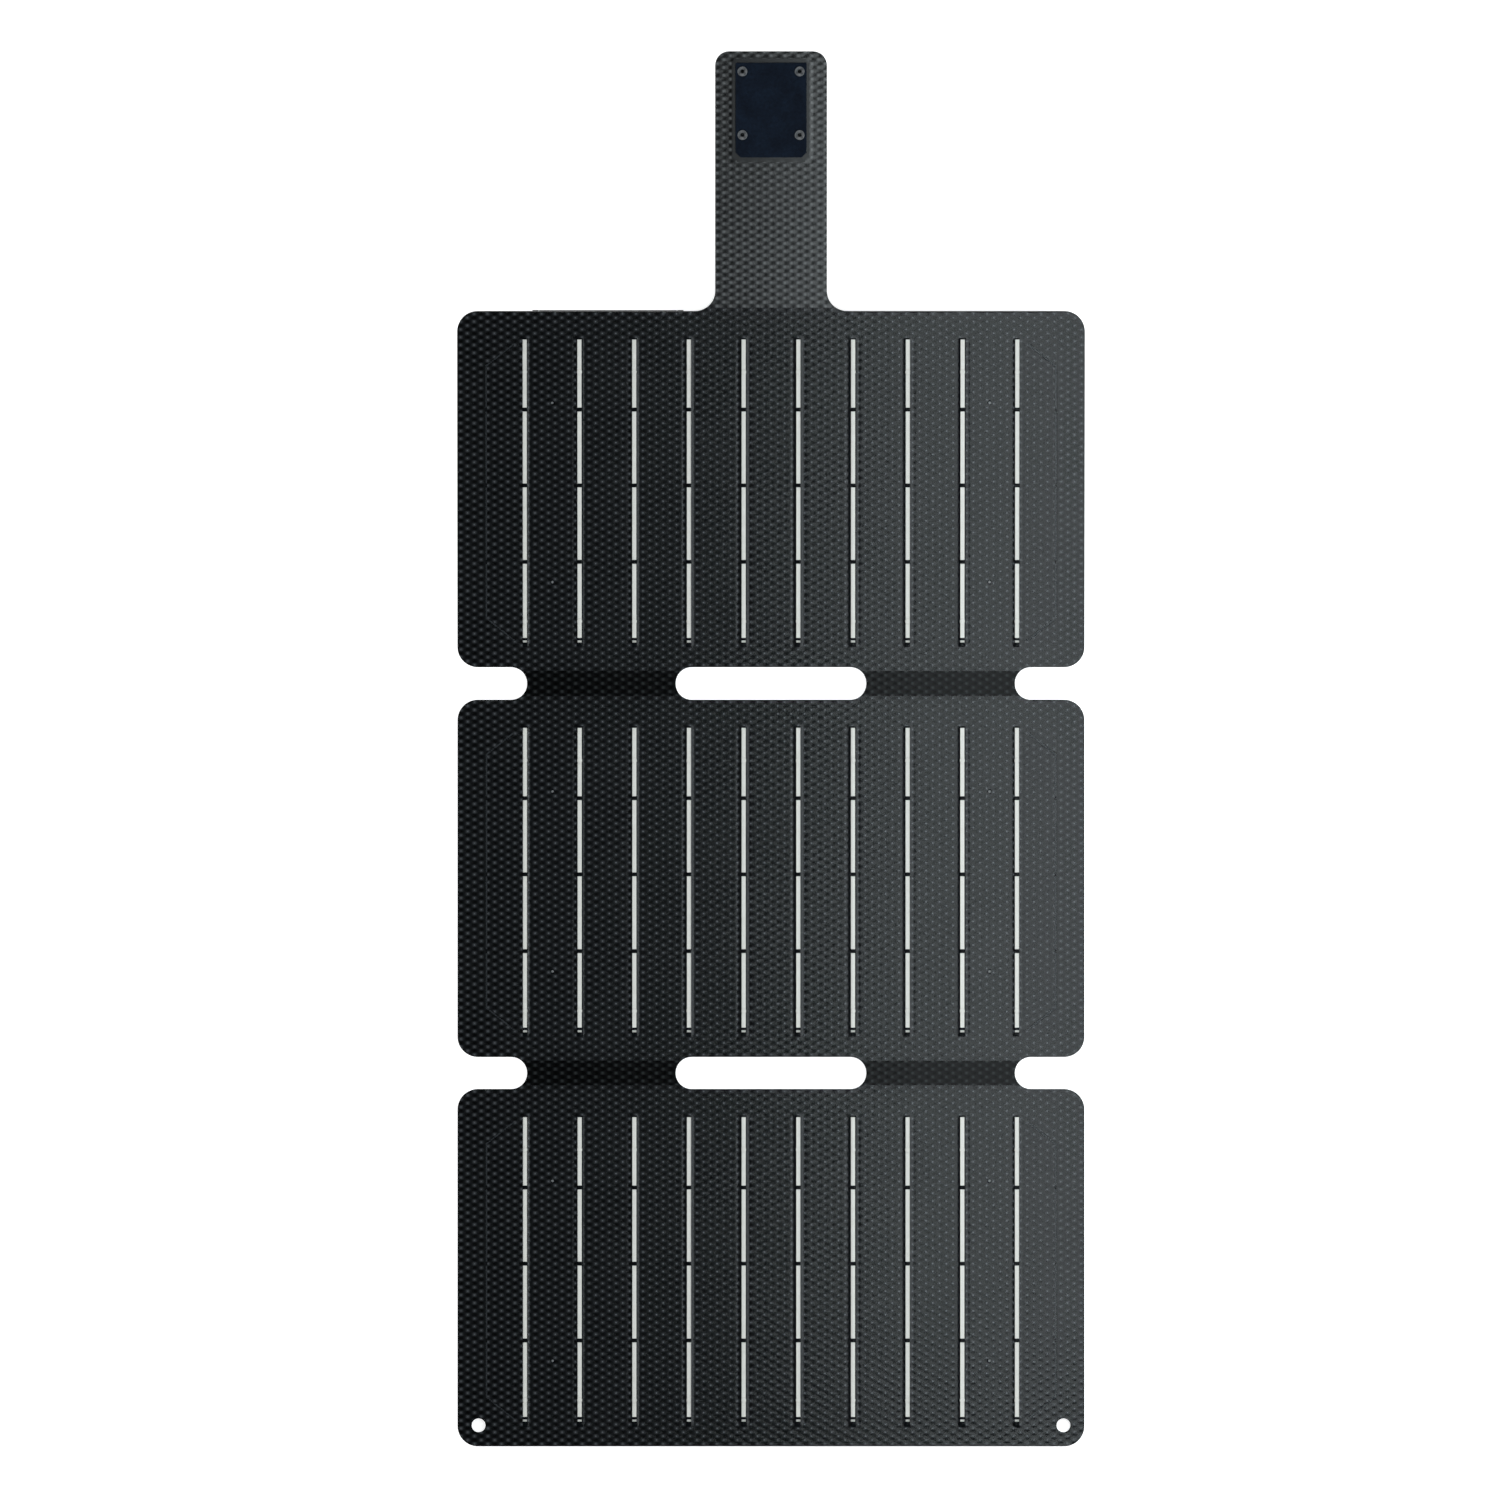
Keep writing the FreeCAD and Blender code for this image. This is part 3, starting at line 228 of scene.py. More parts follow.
def film_window(x, y):
    """Where the film is smooth and clear: over ribbons and printed marks, half so on a cell's rim."""
    if min(abs(x - r) for r in RIBBONS) < RIBBON_CLEAR and RIBBON_FOOT - 0.1 < y < RIBBON_HEAD + 0.1:
        return WINDOW
    if min(math.hypot(x - a, y - b) for a, b in MARKS) < MARK_CLEAR:
        return WINDOW
    along = abs(y - CELL_MIDDLE)
    slant = (abs(x) - CELL_SIDE) / CUT_ACROSS + (along - CELL_REACH) / CUT_ALONG + 1
    rim = max(abs(x) - CELL_SIDE, slant / math.hypot(1 / CUT_ACROSS, 1 / CUT_ALONG))
    return HALF_WINDOW if along < CELL_REACH and -RIM_CLEAR < rim < 0 else 0


LEVEL_HALF, LEVEL_FADE, RIBBON_TOP = 1.5, 0.7, FRONT - 0.015
DIP_AT, DIP_HALF, DIP = 1.45, 0.55, 0.07


def film_height(x, y):
    """The same face over the cells, where the film lies flat along the ribbons and dips beside them."""
    height = pressed_height(x, y)
    nearest = min(abs(x - r) for r in RIBBONS)
    if nearest < DIP_AT + DIP_HALF and RIBBON_FOOT < y < RIBBON_HEAD:
        level = min(max((LEVEL_HALF - nearest) / LEVEL_FADE, 0), 1)
        height += (RIBBON_TOP - height) * level
        height -= DIP * max(0, 1 - abs(nearest - DIP_AT) / DIP_HALF)
    return height


def pressed_sheet(size, edge, height, low, step, place, recess=None, bend=None, window=None, soft=False):
    """A sheet cut to an edge, with a relief above. A soft one keeps the grid below too, to bend.

    Its material slots are the face, the cut edge, the underside and the recess.
    """
    left, right, near, far = size
    bm = bmesh.new()
    bmesh.ops.create_grid(bm, x_segments=round((right - left) / step[0]),
                          y_segments=round((far - near) / step[1]), size=0.5)
    centre = Matrix.Translation(((left + right) / 2, (near + far) / 2, 0))
    bmesh.ops.transform(bm, verts=bm.verts, matrix=centre @ Matrix.Diagonal((right - left, far - near, 1, 1)))
    outside = {v: edge(v.co.x, v.co.y) > 1e-4 for v in bm.verts}
    bmesh.ops.delete(bm, geom=[f for f in bm.faces if all(outside[v] for v in f.verts)], context="FACES")
    for v in bm.verts:
        if outside[v]:
            for _ in range(3):
                x, y = v.co.x, v.co.y
                d = edge(x, y)
                slope = Vector((edge(x + 0.01, y) - edge(x - 0.01, y), edge(x, y + 0.01) - edge(x, y - 0.01)))
                if slope.length > 1e-6:
                    slope.normalize()
                    v.co.x, v.co.y = x - slope.x * d, y - slope.y * d
    layer = bm.loops.layers.uv.new("sheet")
    for face in bm.faces:
        face.smooth = True
        middle = face.calc_center_median()
        clear = window(middle.x, middle.y) if window else 0
        for loop in face.loops:
            loop[layer].uv = (ACROSS / 200, clear) if clear else (loop.vert.co.x / 100, loop.vert.co.y / 100)
    for v in bm.verts:
        v.co.z = height(v.co.x, v.co.y)
    rim = [e for e in bm.edges if e.is_boundary]
    for e in rim:
        e.smooth = False
    below = bmesh.ops.duplicate(bm, geom=bm.faces[:])["geom"] if soft else []
    for g in below:
        if isinstance(g, bmesh.types.BMVert):
            g.co.z = low
        if isinstance(g, bmesh.types.BMFace):
            g.material_index = 2
    skirt = bmesh.ops.extrude_edge_only(bm, edges=rim)["geom"]
    for v in (g for g in skirt if isinstance(g, bmesh.types.BMVert)):
        v.co.z = low
    for f in (g for g in skirt if isinstance(g, bmesh.types.BMFace)):
        f.material_index, f.smooth = 1, False
    under = [g for g in skirt if isinstance(g, bmesh.types.BMEdge) and g.is_boundary]
    clear_area = []
    if recess:
        x0, x1, y0, y1, lift = recess
        corners = [bm.verts.new((x, y, low)) for x, y in ((x0, y0), (x1, y0), (x1, y1), (x0, y1))]
        clear_area = [bm.edges.new((corners[i], corners[(i + 1) % 4])) for i in range(4)]
    if soft:
        bmesh.ops.remove_doubles(bm, verts=[v for v in bm.verts if v.is_boundary], dist=1e-4)
    else:
        filled = bmesh.ops.triangle_fill(bm, use_beauty=True, use_dissolve=False,
                                         edges=under + clear_area)["geom"]
        for f in (g for g in filled if isinstance(g, bmesh.types.BMFace)):
            f.material_index, f.smooth = 2, False
    if recess:
        lifted = bmesh.ops.contextual_create(bm, geom=corners)["faces"]
        raised = bmesh.ops.extrude_face_region(bm, geom=lifted)["geom"]
        bmesh.ops.delete(bm, geom=lifted, context="FACES_ONLY")
        for g in raised:
            if isinstance(g, bmesh.types.BMVert):
                g.co.z = lift
            if isinstance(g, bmesh.types.BMFace):
                g.material_index = 3
    bmesh.ops.recalc_face_normals(bm, faces=bm.faces)
    if bend:
        bend(bm)
    bmesh.ops.transform(bm, verts=bm.verts, matrix=Matrix.Scale(MM, 4) @ place)
    return bm


# The lattice is worked out again for the colour of the pressed film: a painted highlight makes its bumps
# paler than the net between them, and painted shade makes its dimples black.
film_lattice = bpy.data.node_groups.new("film_lattice", "ShaderNodeTree")
film_lattice.interface.new_socket("Vector", in_out="INPUT", socket_type="NodeSocketVector")
for label in ("Bump", "DimpleShade", "Patch"):
    film_lattice.interface.new_socket(label, in_out="OUTPUT", socket_type="NodeSocketFloat")


def sums(tree, operation, first, second=None, **values):
    """A Math node on one or two outputs; values set its other numbers."""
    node = add(tree, "ShaderNodeMath", operation=operation, **values)
    wire(tree, (first, node.inputs[0]))
    if second:
        wire(tree, (second, node.inputs[1]))
    return node.outputs[0]


entry, leave = add(film_lattice, "NodeGroupInput"), add(film_lattice, "NodeGroupOutput")
split = add(film_lattice, "ShaderNodeSeparateXYZ")
patches = add(film_lattice, "ShaderNodeTexNoise", in_Scale=5.0, in_Detail=3.0)
wire(film_lattice, (entry.outputs[0], split.inputs[0]), (entry.outputs[0], patches.inputs["Vector"]))
column, along = (sums(film_lattice, "COSINE", sums(film_lattice, "MULTIPLY", split.outputs[axis],
                                                   in_1=2 * math.pi * 100 / pitch))
                 for axis, pitch in ((0, ACROSS * 2), (1, ALONG)))
wave = sums(film_lattice, "MULTIPLY", column, along)
peak = sums(film_lattice, "MULTIPLY", column, column)
# The first mask places a painted highlight on each bump, the second painted shade in each dimple.
raised = sums(film_lattice, "MAXIMUM", sums(film_lattice, "MULTIPLY", wave, in_1=-1.0), in_1=0.0)
dimple_shade_mask = sums(film_lattice, "MAXIMUM", wave, in_1=0.0)
wire(film_lattice, (sums(film_lattice, "MULTIPLY", raised, peak), leave.inputs["Bump"]),
     (sums(film_lattice, "POWER", dimple_shade_mask, in_1=0.7), leave.inputs["DimpleShade"]),
     (patches.outputs["Fac"], leave.inputs["Patch"]))


def film_finish(name, level, bump, dimple, alpha=None, **sockets):
    """A pressed film, whose bump colour is a painted highlight on the lattice's bumps and whose dimple colour
    is painted shade in its dimples; alpha is how dense its net and its windows are, or it is dense all over.
    """
    material, tree, shader = new_finish(name, **sockets)
    place = add(tree, "ShaderNodeUVMap", uv_map="sheet")
    group = add(tree, "ShaderNodeGroup", node_tree=film_lattice)
    # Painted highlight: the bump colour over the bumps; painted shade: the dimple colour in the dimples.
    tone = add(tree, "ShaderNodeMix", data_type="RGBA", in_6=(*level, 1), in_7=(*bump, 1))
    deep = add(tree, "ShaderNodeMix", data_type="RGBA", in_7=(*dimple, 1))
    rough = add(tree, "ShaderNodeMapRange", in_3=0.15, in_4=0.23)
    haze = add(tree, "ShaderNodeTexNoise", in_Scale=160.0, in_Detail=3.0)
    grain = add(tree, "ShaderNodeBump", in_Strength=0.2, in_Distance=0.00005)
    wire(tree, (place.outputs[0], group.inputs[0]), (group.outputs["Bump"], tone.inputs[0]),
         (group.outputs["DimpleShade"], deep.inputs[0]), (tone.outputs[2], deep.inputs[6]),
         (deep.outputs[2], shader.inputs["Base Color"]), (group.outputs["Patch"], rough.inputs[0]),
         (rough.outputs[0], shader.inputs["Roughness"]),
         (place.outputs[0], haze.inputs["Vector"]), (haze.outputs["Fac"], grain.inputs["Height"]),
         (grain.outputs[0], shader.inputs["Normal"]))
    if alpha:
        split = add(tree, "ShaderNodeSeparateXYZ")
        dense = add(tree, "ShaderNodeMapRange", in_1=1.0, in_2=float(WINDOW), in_3=alpha[0], in_4=alpha[1])
        wire(tree, (place.outputs[0], split.inputs[0]), (split.outputs["Y"], dense.inputs[0]),
             (dense.outputs[0], shader.inputs["Alpha"]))
    return material


# Its second colour is a painted highlight on the bumps, its black third colour painted shade in the dimples.
clear_film = film_finish("pressed_clear_film", (0.0042, 0.0049, 0.0056), (0.045, 0.0495, 0.054), (0, 0, 0),
                         alpha=(0.9, 0.2), IOR=1.34)
cut_edge = clouded("sheared_edge", 900.0, (0.05, 0.05, 0.048), (0.16, 0.155, 0.14), Roughness=0.6)[0]
seal_black = clouded("dark_seal", 300.0, (0.002, 0.0025, 0.003), (0.006, 0.007, 0.008), detail=3.0,
                     Roughness=0.6, Specular_IOR_Level=0.0)[0]
under_film = new_finish("bonded_underside", Alpha=0.02, Roughness=0.5, Base_Color=(0.002, 0.002, 0.002, 1),
                        Specular_IOR_Level=0.0)[0]

STEP = (ACROSS / 4, 0.5)
RIM_LOW, RECESS = 1.31, (-91.02, 91.02, -55.55, 54.45, 1.70)
for panel, place, top, bottom in (("upper", UPPER, "flap", "fold"), ("middle", MIDDLE, "fold", "fold"),
                                  ("lower", LOWER, "fold", "holes")):
    near = LUG if bottom == "fold" else EDGE
    bm = pressed_sheet((-SIDE - 0.15, SIDE + 0.15, -near - 0.3, LUG + 0.3), panel_edge(top, bottom),
                       film_height, RIM_LOW, STEP, place, RECESS, window=film_window)
    sheet = new_piece(panel + "_front_sheet", bm, clear_film, cut_edge, seal_black, under_film)
    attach(sheet, panel + "_panel")
    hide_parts(panel + "_front_film", panel + "_front_encapsulant")

# ---------------------------------------------------------------------------
# The silicon cells: four strips in each panel, cut from square wafers with
# clipped corners, under a dark blue coating that stops short of the wafer's rim.


def coated_silicon(name):
    """The coating of one panel's strips: bare grey silicon shows along the sides and cut corners."""
    low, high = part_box(name)
    material, tree, shader = new_finish(name + "_coating", Roughness=0.35, Specular_IOR_Level=0.0)
    place = add(tree, "ShaderNodeTexCoord").outputs["Object"]
    cloud = add(tree, "ShaderNodeTexNoise", in_Scale=14.0, in_Detail=2.0)
    tone = add(tree, "ShaderNodeMix", data_type="RGBA", in_6=(0.001, 0.0018, 0.0035, 1),
               in_7=(0.002, 0.0035, 0.006, 1))
    edged = add(tree, "ShaderNodeMix", data_type="RGBA", in_7=(0.13, 0.145, 0.16, 1))
    split = add(tree, "ShaderNodeSeparateXYZ")
    wire(tree, (place, cloud.inputs["Vector"]), (place, split.inputs[0]),
         (cloud.outputs["Fac"], tone.inputs[0]))
    across = sums(tree, "ABSOLUTE", split.outputs["X"])
    along = sums(tree, "ABSOLUTE", sums(tree, "SUBTRACT", split.outputs["Y"], in_1=(low.y + high.y) / 2))
    corner = (CELL_SIDE / CUT_ACROSS + (high.y - low.y) / 2 / MM / CUT_ALONG - 1
              - BARE_RIM * math.hypot(1 / CUT_ACROSS, 1 / CUT_ALONG))
    reach = sums(tree, "ADD", sums(tree, "MULTIPLY", across, in_1=1 / (CUT_ACROSS * MM)),
                 sums(tree, "MULTIPLY", along, in_1=1 / (CUT_ALONG * MM)))
    rim = sums(tree, "MAXIMUM", sums(tree, "GREATER_THAN", across, in_1=(CELL_SIDE - BARE_RIM) * MM),
               sums(tree, "GREATER_THAN", reach, in_1=corner))
    wire(tree, (rim, edged.inputs[0]), (tone.outputs[2], edged.inputs[6]),
         (edged.outputs[2], shader.inputs["Base Color"]))
    return material


# ---------------------------------------------------------------------------
# The tabbing ribbons and bus ribbons: flat copper strips dipped in solder, whose
# pale rippled skin shows through the film.
tinned, tree, shader, ripple = clouded("solder_dipped_ribbon", 420.0, (0.82, 0.81, 0.75), (0.95, 0.95, 0.91),
                                       detail=3.0, Metallic=0.1, Specular_IOR_Level=0.5)
rough = add(tree, "ShaderNodeMapRange", in_3=0.35, in_4=0.6)
bump = add(tree, "ShaderNodeBump", in_Strength=0.4, in_Distance=0.00008)
wire(tree, (ripple.outputs["Fac"], rough.inputs[0]), (rough.outputs[0], shader.inputs["Roughness"]),
     (ripple.outputs["Fac"], bump.inputs["Height"]), (bump.outputs[0], shader.inputs["Normal"]))

# The soldered spots: a little swelling of solder near both ends of every ribbon,
# and four printed marks on each panel's cells.
mark_ink = clouded("printed_mark", 2000.0, (0.22, 0.23, 0.24), (0.34, 0.35, 0.36), Roughness=0.6)[0]
SOLDER_ROWS, BEAD_SIDES, BEAD_RINGS, BEAD_RISE = (37.6, -42.3), 10, 6, 0.06
for panel, place in (("upper", UPPER), ("middle", MIDDLE), ("lower", LOWER)):
    bm = bmesh.new()
    solder = [(x, y, 0.82, 1.0, 1.60) for x in RIBBONS for y in SOLDER_ROWS]
    prints = [(x, y, 0.42, 0.42, 1.50) for x, y in MARKS]
    for x, y, wide, long, level in solder + prints:
        bead = bmesh.ops.create_uvsphere(bm, u_segments=BEAD_SIDES, v_segments=BEAD_RINGS, radius=1.0)["verts"]
        bmesh.ops.transform(bm, verts=bead, matrix=Matrix.Translation((x, y, level))
                            @ Matrix.Diagonal((wide, long, BEAD_RISE, 1)))
    for face in bm.faces:
        face.smooth = True
    bmesh.ops.transform(bm, verts=bm.verts, matrix=Matrix.Scale(MM, 4) @ place)
    for face in bm.faces[len(solder) * BEAD_SIDES * BEAD_RINGS:]:
        face.material_index = 1
    beads = new_piece(panel + "_solder_spots", bm, tinned, mark_ink)
    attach(beads, panel + "_panel")

# ---------------------------------------------------------------------------
# Plain grained finishes: moulded plastics, rubber, tape, board, foam and metals,
# each with its own grain size, two tones and roughness.
surface_grain = bpy.data.node_groups.new("surface_grain", "ShaderNodeTree")
for label, kind in (("Vector", "Vector"), ("Size", "Float"), ("Dark", "Color"), ("Light", "Color"),
                    ("Smoothest", "Float"), ("Roughest", "Float")):
    surface_grain.interface.new_socket(label, in_out="INPUT", socket_type="NodeSocket" + kind)
for label, kind in (("Color", "Color"), ("Roughness", "Float"), ("Height", "Float")):
    surface_grain.interface.new_socket(label, in_out="OUTPUT", socket_type="NodeSocket" + kind)
entry, leave = add(surface_grain, "NodeGroupInput"), add(surface_grain, "NodeGroupOutput")
fine = add(surface_grain, "ShaderNodeTexNoise", in_Detail=5.0, in_Roughness=0.6)
broad = add(surface_grain, "ShaderNodeTexNoise", in_Scale=35.0, in_Detail=2.0)
blend = add(surface_grain, "ShaderNodeMath", operation="MULTIPLY_ADD", in_1=0.6)
part = add(surface_grain, "ShaderNodeMath", operation="MULTIPLY", in_1=0.4)
tone = add(surface_grain, "ShaderNodeMix", data_type="RGBA")
rough = add(surface_grain, "ShaderNodeMapRange")
wire(surface_grain, (entry.outputs["Vector"], fine.inputs["Vector"]),
     (entry.outputs["Size"], fine.inputs["Scale"]),
     (entry.outputs["Vector"], broad.inputs["Vector"]), (broad.outputs["Fac"], part.inputs[0]),
     (fine.outputs["Fac"], blend.inputs[0]), (part.outputs[0], blend.inputs[2]),
     (blend.outputs[0], tone.inputs[0]),
     (entry.outputs["Dark"], tone.inputs[6]), (entry.outputs["Light"], tone.inputs[7]),
     (blend.outputs[0], rough.inputs[0]), (entry.outputs["Smoothest"], rough.inputs[3]),
     (entry.outputs["Roughest"], rough.inputs[4]), (tone.outputs[2], leave.inputs[0]),
     (rough.outputs[0], leave.inputs[1]), (fine.outputs["Fac"], leave.inputs[2]))


def grained(name, dark, light, grain, smoothest, roughest, relief, **sockets):
    """A finish from the surface grain: grain is in lines per metre, relief in metres."""
    material, tree, shader = new_finish(name, **sockets)
    group = add(tree, "ShaderNodeGroup", node_tree=surface_grain, in_Size=grain, in_Dark=(*dark, 1),
                in_Light=(*light, 1), in_Smoothest=smoothest, in_Roughest=roughest)
    bump = add(tree, "ShaderNodeBump", in_Strength=0.5, in_Distance=relief)
    wire(tree, (add(tree, "ShaderNodeTexCoord").outputs["Object"], group.inputs["Vector"]),
         (group.outputs["Color"], shader.inputs["Base Color"]),
         (group.outputs["Roughness"], shader.inputs["Roughness"]),
         (group.outputs["Height"], bump.inputs["Height"]), (bump.outputs[0], shader.inputs["Normal"]))
    return material


finishes = {
    "tinned_ribbon": tinned,
    "black_tape": grained("black_tape", (0.001, 0.0015, 0.002), (0.003, 0.004, 0.005), 900, 0.5, 0.7, 0.00003,
                           Specular_IOR_Level=0.0),
    "black_seal": seal_black,
    "board": grained("fibre_board", (0.010, 0.012, 0.010), (0.03, 0.032, 0.028), 1500, 0.5, 0.7, 0.00003),
    "case_plastic": grained("moulded_case", (0.012, 0.013, 0.014), (0.028, 0.029, 0.031), 1800, 0.38, 0.55,
                            0.00006),
    "soft_rubber": grained("rubber", (0.012, 0.012, 0.012), (0.024, 0.024, 0.025), 1200, 0.6, 0.8, 0.00005),
    "foam_pad": grained("foam_tape", (0.03, 0.03, 0.03), (0.07, 0.07, 0.07), 2500, 0.8, 0.95, 0.0001),
    "can_aluminium": grained("capacitor_can", (0.55, 0.55, 0.56), (0.75, 0.75, 0.76), 800, 0.25, 0.4, 0.00002,
                             Metallic=0.9),
    "circuit_laminate": grained("circuit_laminate", (0.005, 0.045, 0.02), (0.01, 0.09, 0.04), 700, 0.3, 0.45,
                                0.00003),
    "screw_steel": grained("screw_steel", (0.30, 0.30, 0.31), (0.5, 0.5, 0.5), 1500, 0.25, 0.4, 0.00002,
                           Metallic=1.0),
    "lamp_lens": grained("lamp_lens", (0.02, 0.22, 0.05), (0.05, 0.4, 0.10), 300, 0.1, 0.2, 0.00001),
    "copper_lead": grained("lead_jacket", (0.25, 0.03, 0.02), (0.4, 0.06, 0.04), 900, 0.4, 0.5, 0.00002),
    "ferrite": grained("ferrite", (0.04, 0.04, 0.045), (0.09, 0.09, 0.095), 900, 0.5, 0.7, 0.00005),
    "chip_plastic": grained("chip_plastic", (0.012, 0.012, 0.013), (0.03, 0.03, 0.03), 2000, 0.5, 0.65,
                            0.00003),
    "socket_steel": grained("socket_steel", (0.45, 0.45, 0.46), (0.65, 0.65, 0.66), 900, 0.22, 0.35, 0.00002,
                            Metallic=1.0),
    "socket_plastic": grained("socket_plastic", (0.02, 0.02, 0.022), (0.04, 0.04, 0.042), 1500, 0.4, 0.5,
                              0.00002),
    "rivet_metal": grained("rivet_metal", (0.06, 0.065, 0.07), (0.12, 0.126, 0.133), 1500, 0.35, 0.5, 0.00002,
                           Metallic=0.6),
}

# ---------------------------------------------------------------------------
# The back sheets: black polyester laminate with the close weave of its carrier
# cloth pressed into it.
woven_back, tree, shader = new_finish("woven_back_sheet", Roughness=0.65, Specular_IOR_Level=0.4)
place = add(tree, "ShaderNodeTexCoord")
threads = []
for direction in ("X", "Y"):
    thread = add(tree, "ShaderNodeTexWave", bands_direction=direction, in_Scale=260.0, in_Distortion=0.4,
                 in_Detail=1.0)
    wire(tree, (place.outputs["Object"], thread.inputs["Vector"]))
    threads.append(thread)
cross = add(tree, "ShaderNodeMath", operation="MULTIPLY")
tone = add(tree, "ShaderNodeMix", data_type="RGBA", in_6=(0.008, 0.009, 0.010, 1),
           in_7=(0.035, 0.037, 0.040, 1))
bump = add(tree, "ShaderNodeBump", in_Strength=0.6, in_Distance=0.00012)
wire(tree, (threads[0].outputs["Fac"], cross.inputs[0]), (threads[1].outputs["Fac"], cross.inputs[1]),
     (cross.outputs[0], tone.inputs[0]), (tone.outputs[2], shader.inputs["Base Color"]),
     (cross.outputs[0], bump.inputs["Height"]), (bump.outputs[0], shader.inputs["Normal"]))
finishes["back_sheet"] = woven_back

for name, node in nodes.items():
    kept = node.data.materials[0].name.split(".")[0] if node.data.materials else ""
    if kept == "silicon":
        node.data.materials[0] = coated_silicon(name)
    elif kept in finishes:
        node.data.materials[0] = finishes[kept]

# ---------------------------------------------------------------------------
# The fold webs: the same pressed film over the back sheet, without board or
# cells, so that the panels can fold. Two webs cross each fold, and a flat
# conductor runs inside each.
# Its second colour is a painted highlight on the bumps, its black third colour painted shade in the dimples.
web_film = film_finish("pressed_web_film", (0.0016, 0.0019, 0.0021), (0.016, 0.018, 0.019), (0, 0, 0),
                       IOR=1.19)
WEB_REACH = 3.9
LINKS, LINK_WIDE, LINK_THICK = ((-54, 1.2), (54, 0.9)), 4, 0.1


def web_edge(x, y):
    """Both webs' outline, between the round ends of the slot and of the notches."""
    span = box_edge(abs(x), y, SLOT_END, NOTCH_END, -WEB_REACH, WEB_REACH)
    return max(span, ARC - math.hypot(abs(x) - SLOT_END, y), ARC - math.hypot(abs(x) - NOTCH_END, y))


def bent(rise, lean):
    """Bends a web, flat along Y, round the fold's axis above it."""
    def bend(bm):
        for v in bm.verts:
            t = min(max((v.co.y + WEB_REACH) / (2 * WEB_REACH), 0), 1)
            angle = lean * t * t * (3 - 2 * t)
            y, z = v.co.y, v.co.z - FRONT - rise
            v.co.y = y * math.cos(angle) - z * math.sin(angle)
            v.co.z = y * math.sin(angle) + z * math.cos(angle)
    return bend


for fold, axis_y, axis_z, rise, lean, far_panel, side in (
        ("upper_fold", UPPER_AXIS_Y, UPPER_AXIS_Z, UPPER_RISE, LEAN, "upper_panel", 1),
        ("lower_fold", LOWER_AXIS_Y, LOWER_AXIS_Z, LOWER_RISE, 0.0, "lower_panel", -1)):
    place = Matrix.Translation((0, axis_y, axis_z))
    bm = pressed_sheet((-NOTCH_END - 0.1, NOTCH_END + 0.1, -WEB_REACH, WEB_REACH), web_edge, pressed_height,
                       0.0, (ACROSS / 4, WEB_REACH / 8), place, bend=bent(rise, lean), soft=True)
    web = new_piece(fold + "_web", bm, web_film, cut_edge, woven_back)
    reach = WEB_REACH * MM * side
    start, end = (0, axis_y * MM - reach, axis_z * MM), (0, axis_y * MM + reach, axis_z * MM)
    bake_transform(web)
    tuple(start)
    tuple(end)
    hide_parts(fold + "_web_film", fold + "_web_backing")

    strips = bmesh.new()
    for x, low in LINKS:
        strip = bmesh.ops.create_grid(strips, x_segments=1, y_segments=12, size=0.5)["verts"]
        bmesh.ops.transform(strips, verts=strip, matrix=Matrix.Translation((x, 0, low))
                            @ Matrix.Diagonal((LINK_WIDE, 2 * WEB_REACH, 1, 1)))
    bmesh.ops.recalc_face_normals(strips, faces=strips.faces)
    lift = bmesh.ops.extrude_face_region(strips, geom=strips.faces[:])["geom"]
    lift = [g for g in lift if isinstance(g, bmesh.types.BMVert)]
    bmesh.ops.translate(strips, verts=lift, vec=(0, 0, LINK_THICK))
    bmesh.ops.recalc_face_normals(strips, faces=strips.faces)
    bent(rise, lean)(strips)
    bmesh.ops.transform(strips, verts=strips.verts, matrix=Matrix.Scale(MM, 4) @ place)
    links = new_piece(fold + "_link_strips", strips, tinned)
    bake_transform(links)
    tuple(start)
    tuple(end)
    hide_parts(fold + "_conductors")

# ---------------------------------------------------------------------------
# The closing flap: a bending root of film on back sheet, then a stiffer strip of
# film, core and back sheet. Its film is pressed smooth in a border round the
# hook patch.
FLAP_HALF, ROOT_END, FLAP_TIP, TIP_CORNER = 17.8, 67.2, 140.0, 4.5
ROOT_AXIS_Z, FLAP_LOW, RIVET_HOLE = 5.7, 1.76, 1.0
PATCH = (-11.3, 11.3, 106.3, 136.5)
RIVETS = [(x, y) for x in (-9.1, 9.1) for y in (133.8, 113.5)]


def root_edge(x, y):
    """The root's outline, which runs out into the top panel in two hollow curves."""
    wide = box_edge(x, y, -ROOT_ARC_X, ROOT_ARC_X, LUG, ROOT_END)
    wide = max(wide, CORNER - math.hypot(abs(x) - ROOT_ARC_X, y - ROOT_ARC_Y))
    return max(wide, abs(x) - FLAP_HALF) if y > ROOT_ARC_Y else wide


def flap_edge(x, y):
    """The flap's outline, square at its root and round at its tip, with the rivets' holes."""
    outline = box_edge(x, y, -FLAP_HALF, FLAP_HALF, ROOT_END - 20, FLAP_TIP, TIP_CORNER)
    rivet = min(math.hypot(x - a, y - b) for a, b in RIVETS)
    return max(outline, ROOT_END - y, RIVET_HOLE - rivet)


SMOOTH_TO, SMOOTH_FADE, SMOOTH_TOP, RIDGE_AT, RIDGE = 1.2, 0.5, FRONT - 0.06, 1.5, 0.02


def flap_height(x, y):
    """The pressed face, smooth under the hook patch and a little beyond, with a low ridge round it."""
    d = box_edge(x, y, *PATCH, 1.0)
    rough = min(max((d - SMOOTH_TO) / SMOOTH_FADE, 0), 1)
    ridge = RIDGE * max(0, 1 - abs(d - RIDGE_AT) / 0.5)
    return pressed_height(x, y) * rough + SMOOTH_TOP * (1 - rough) + ridge


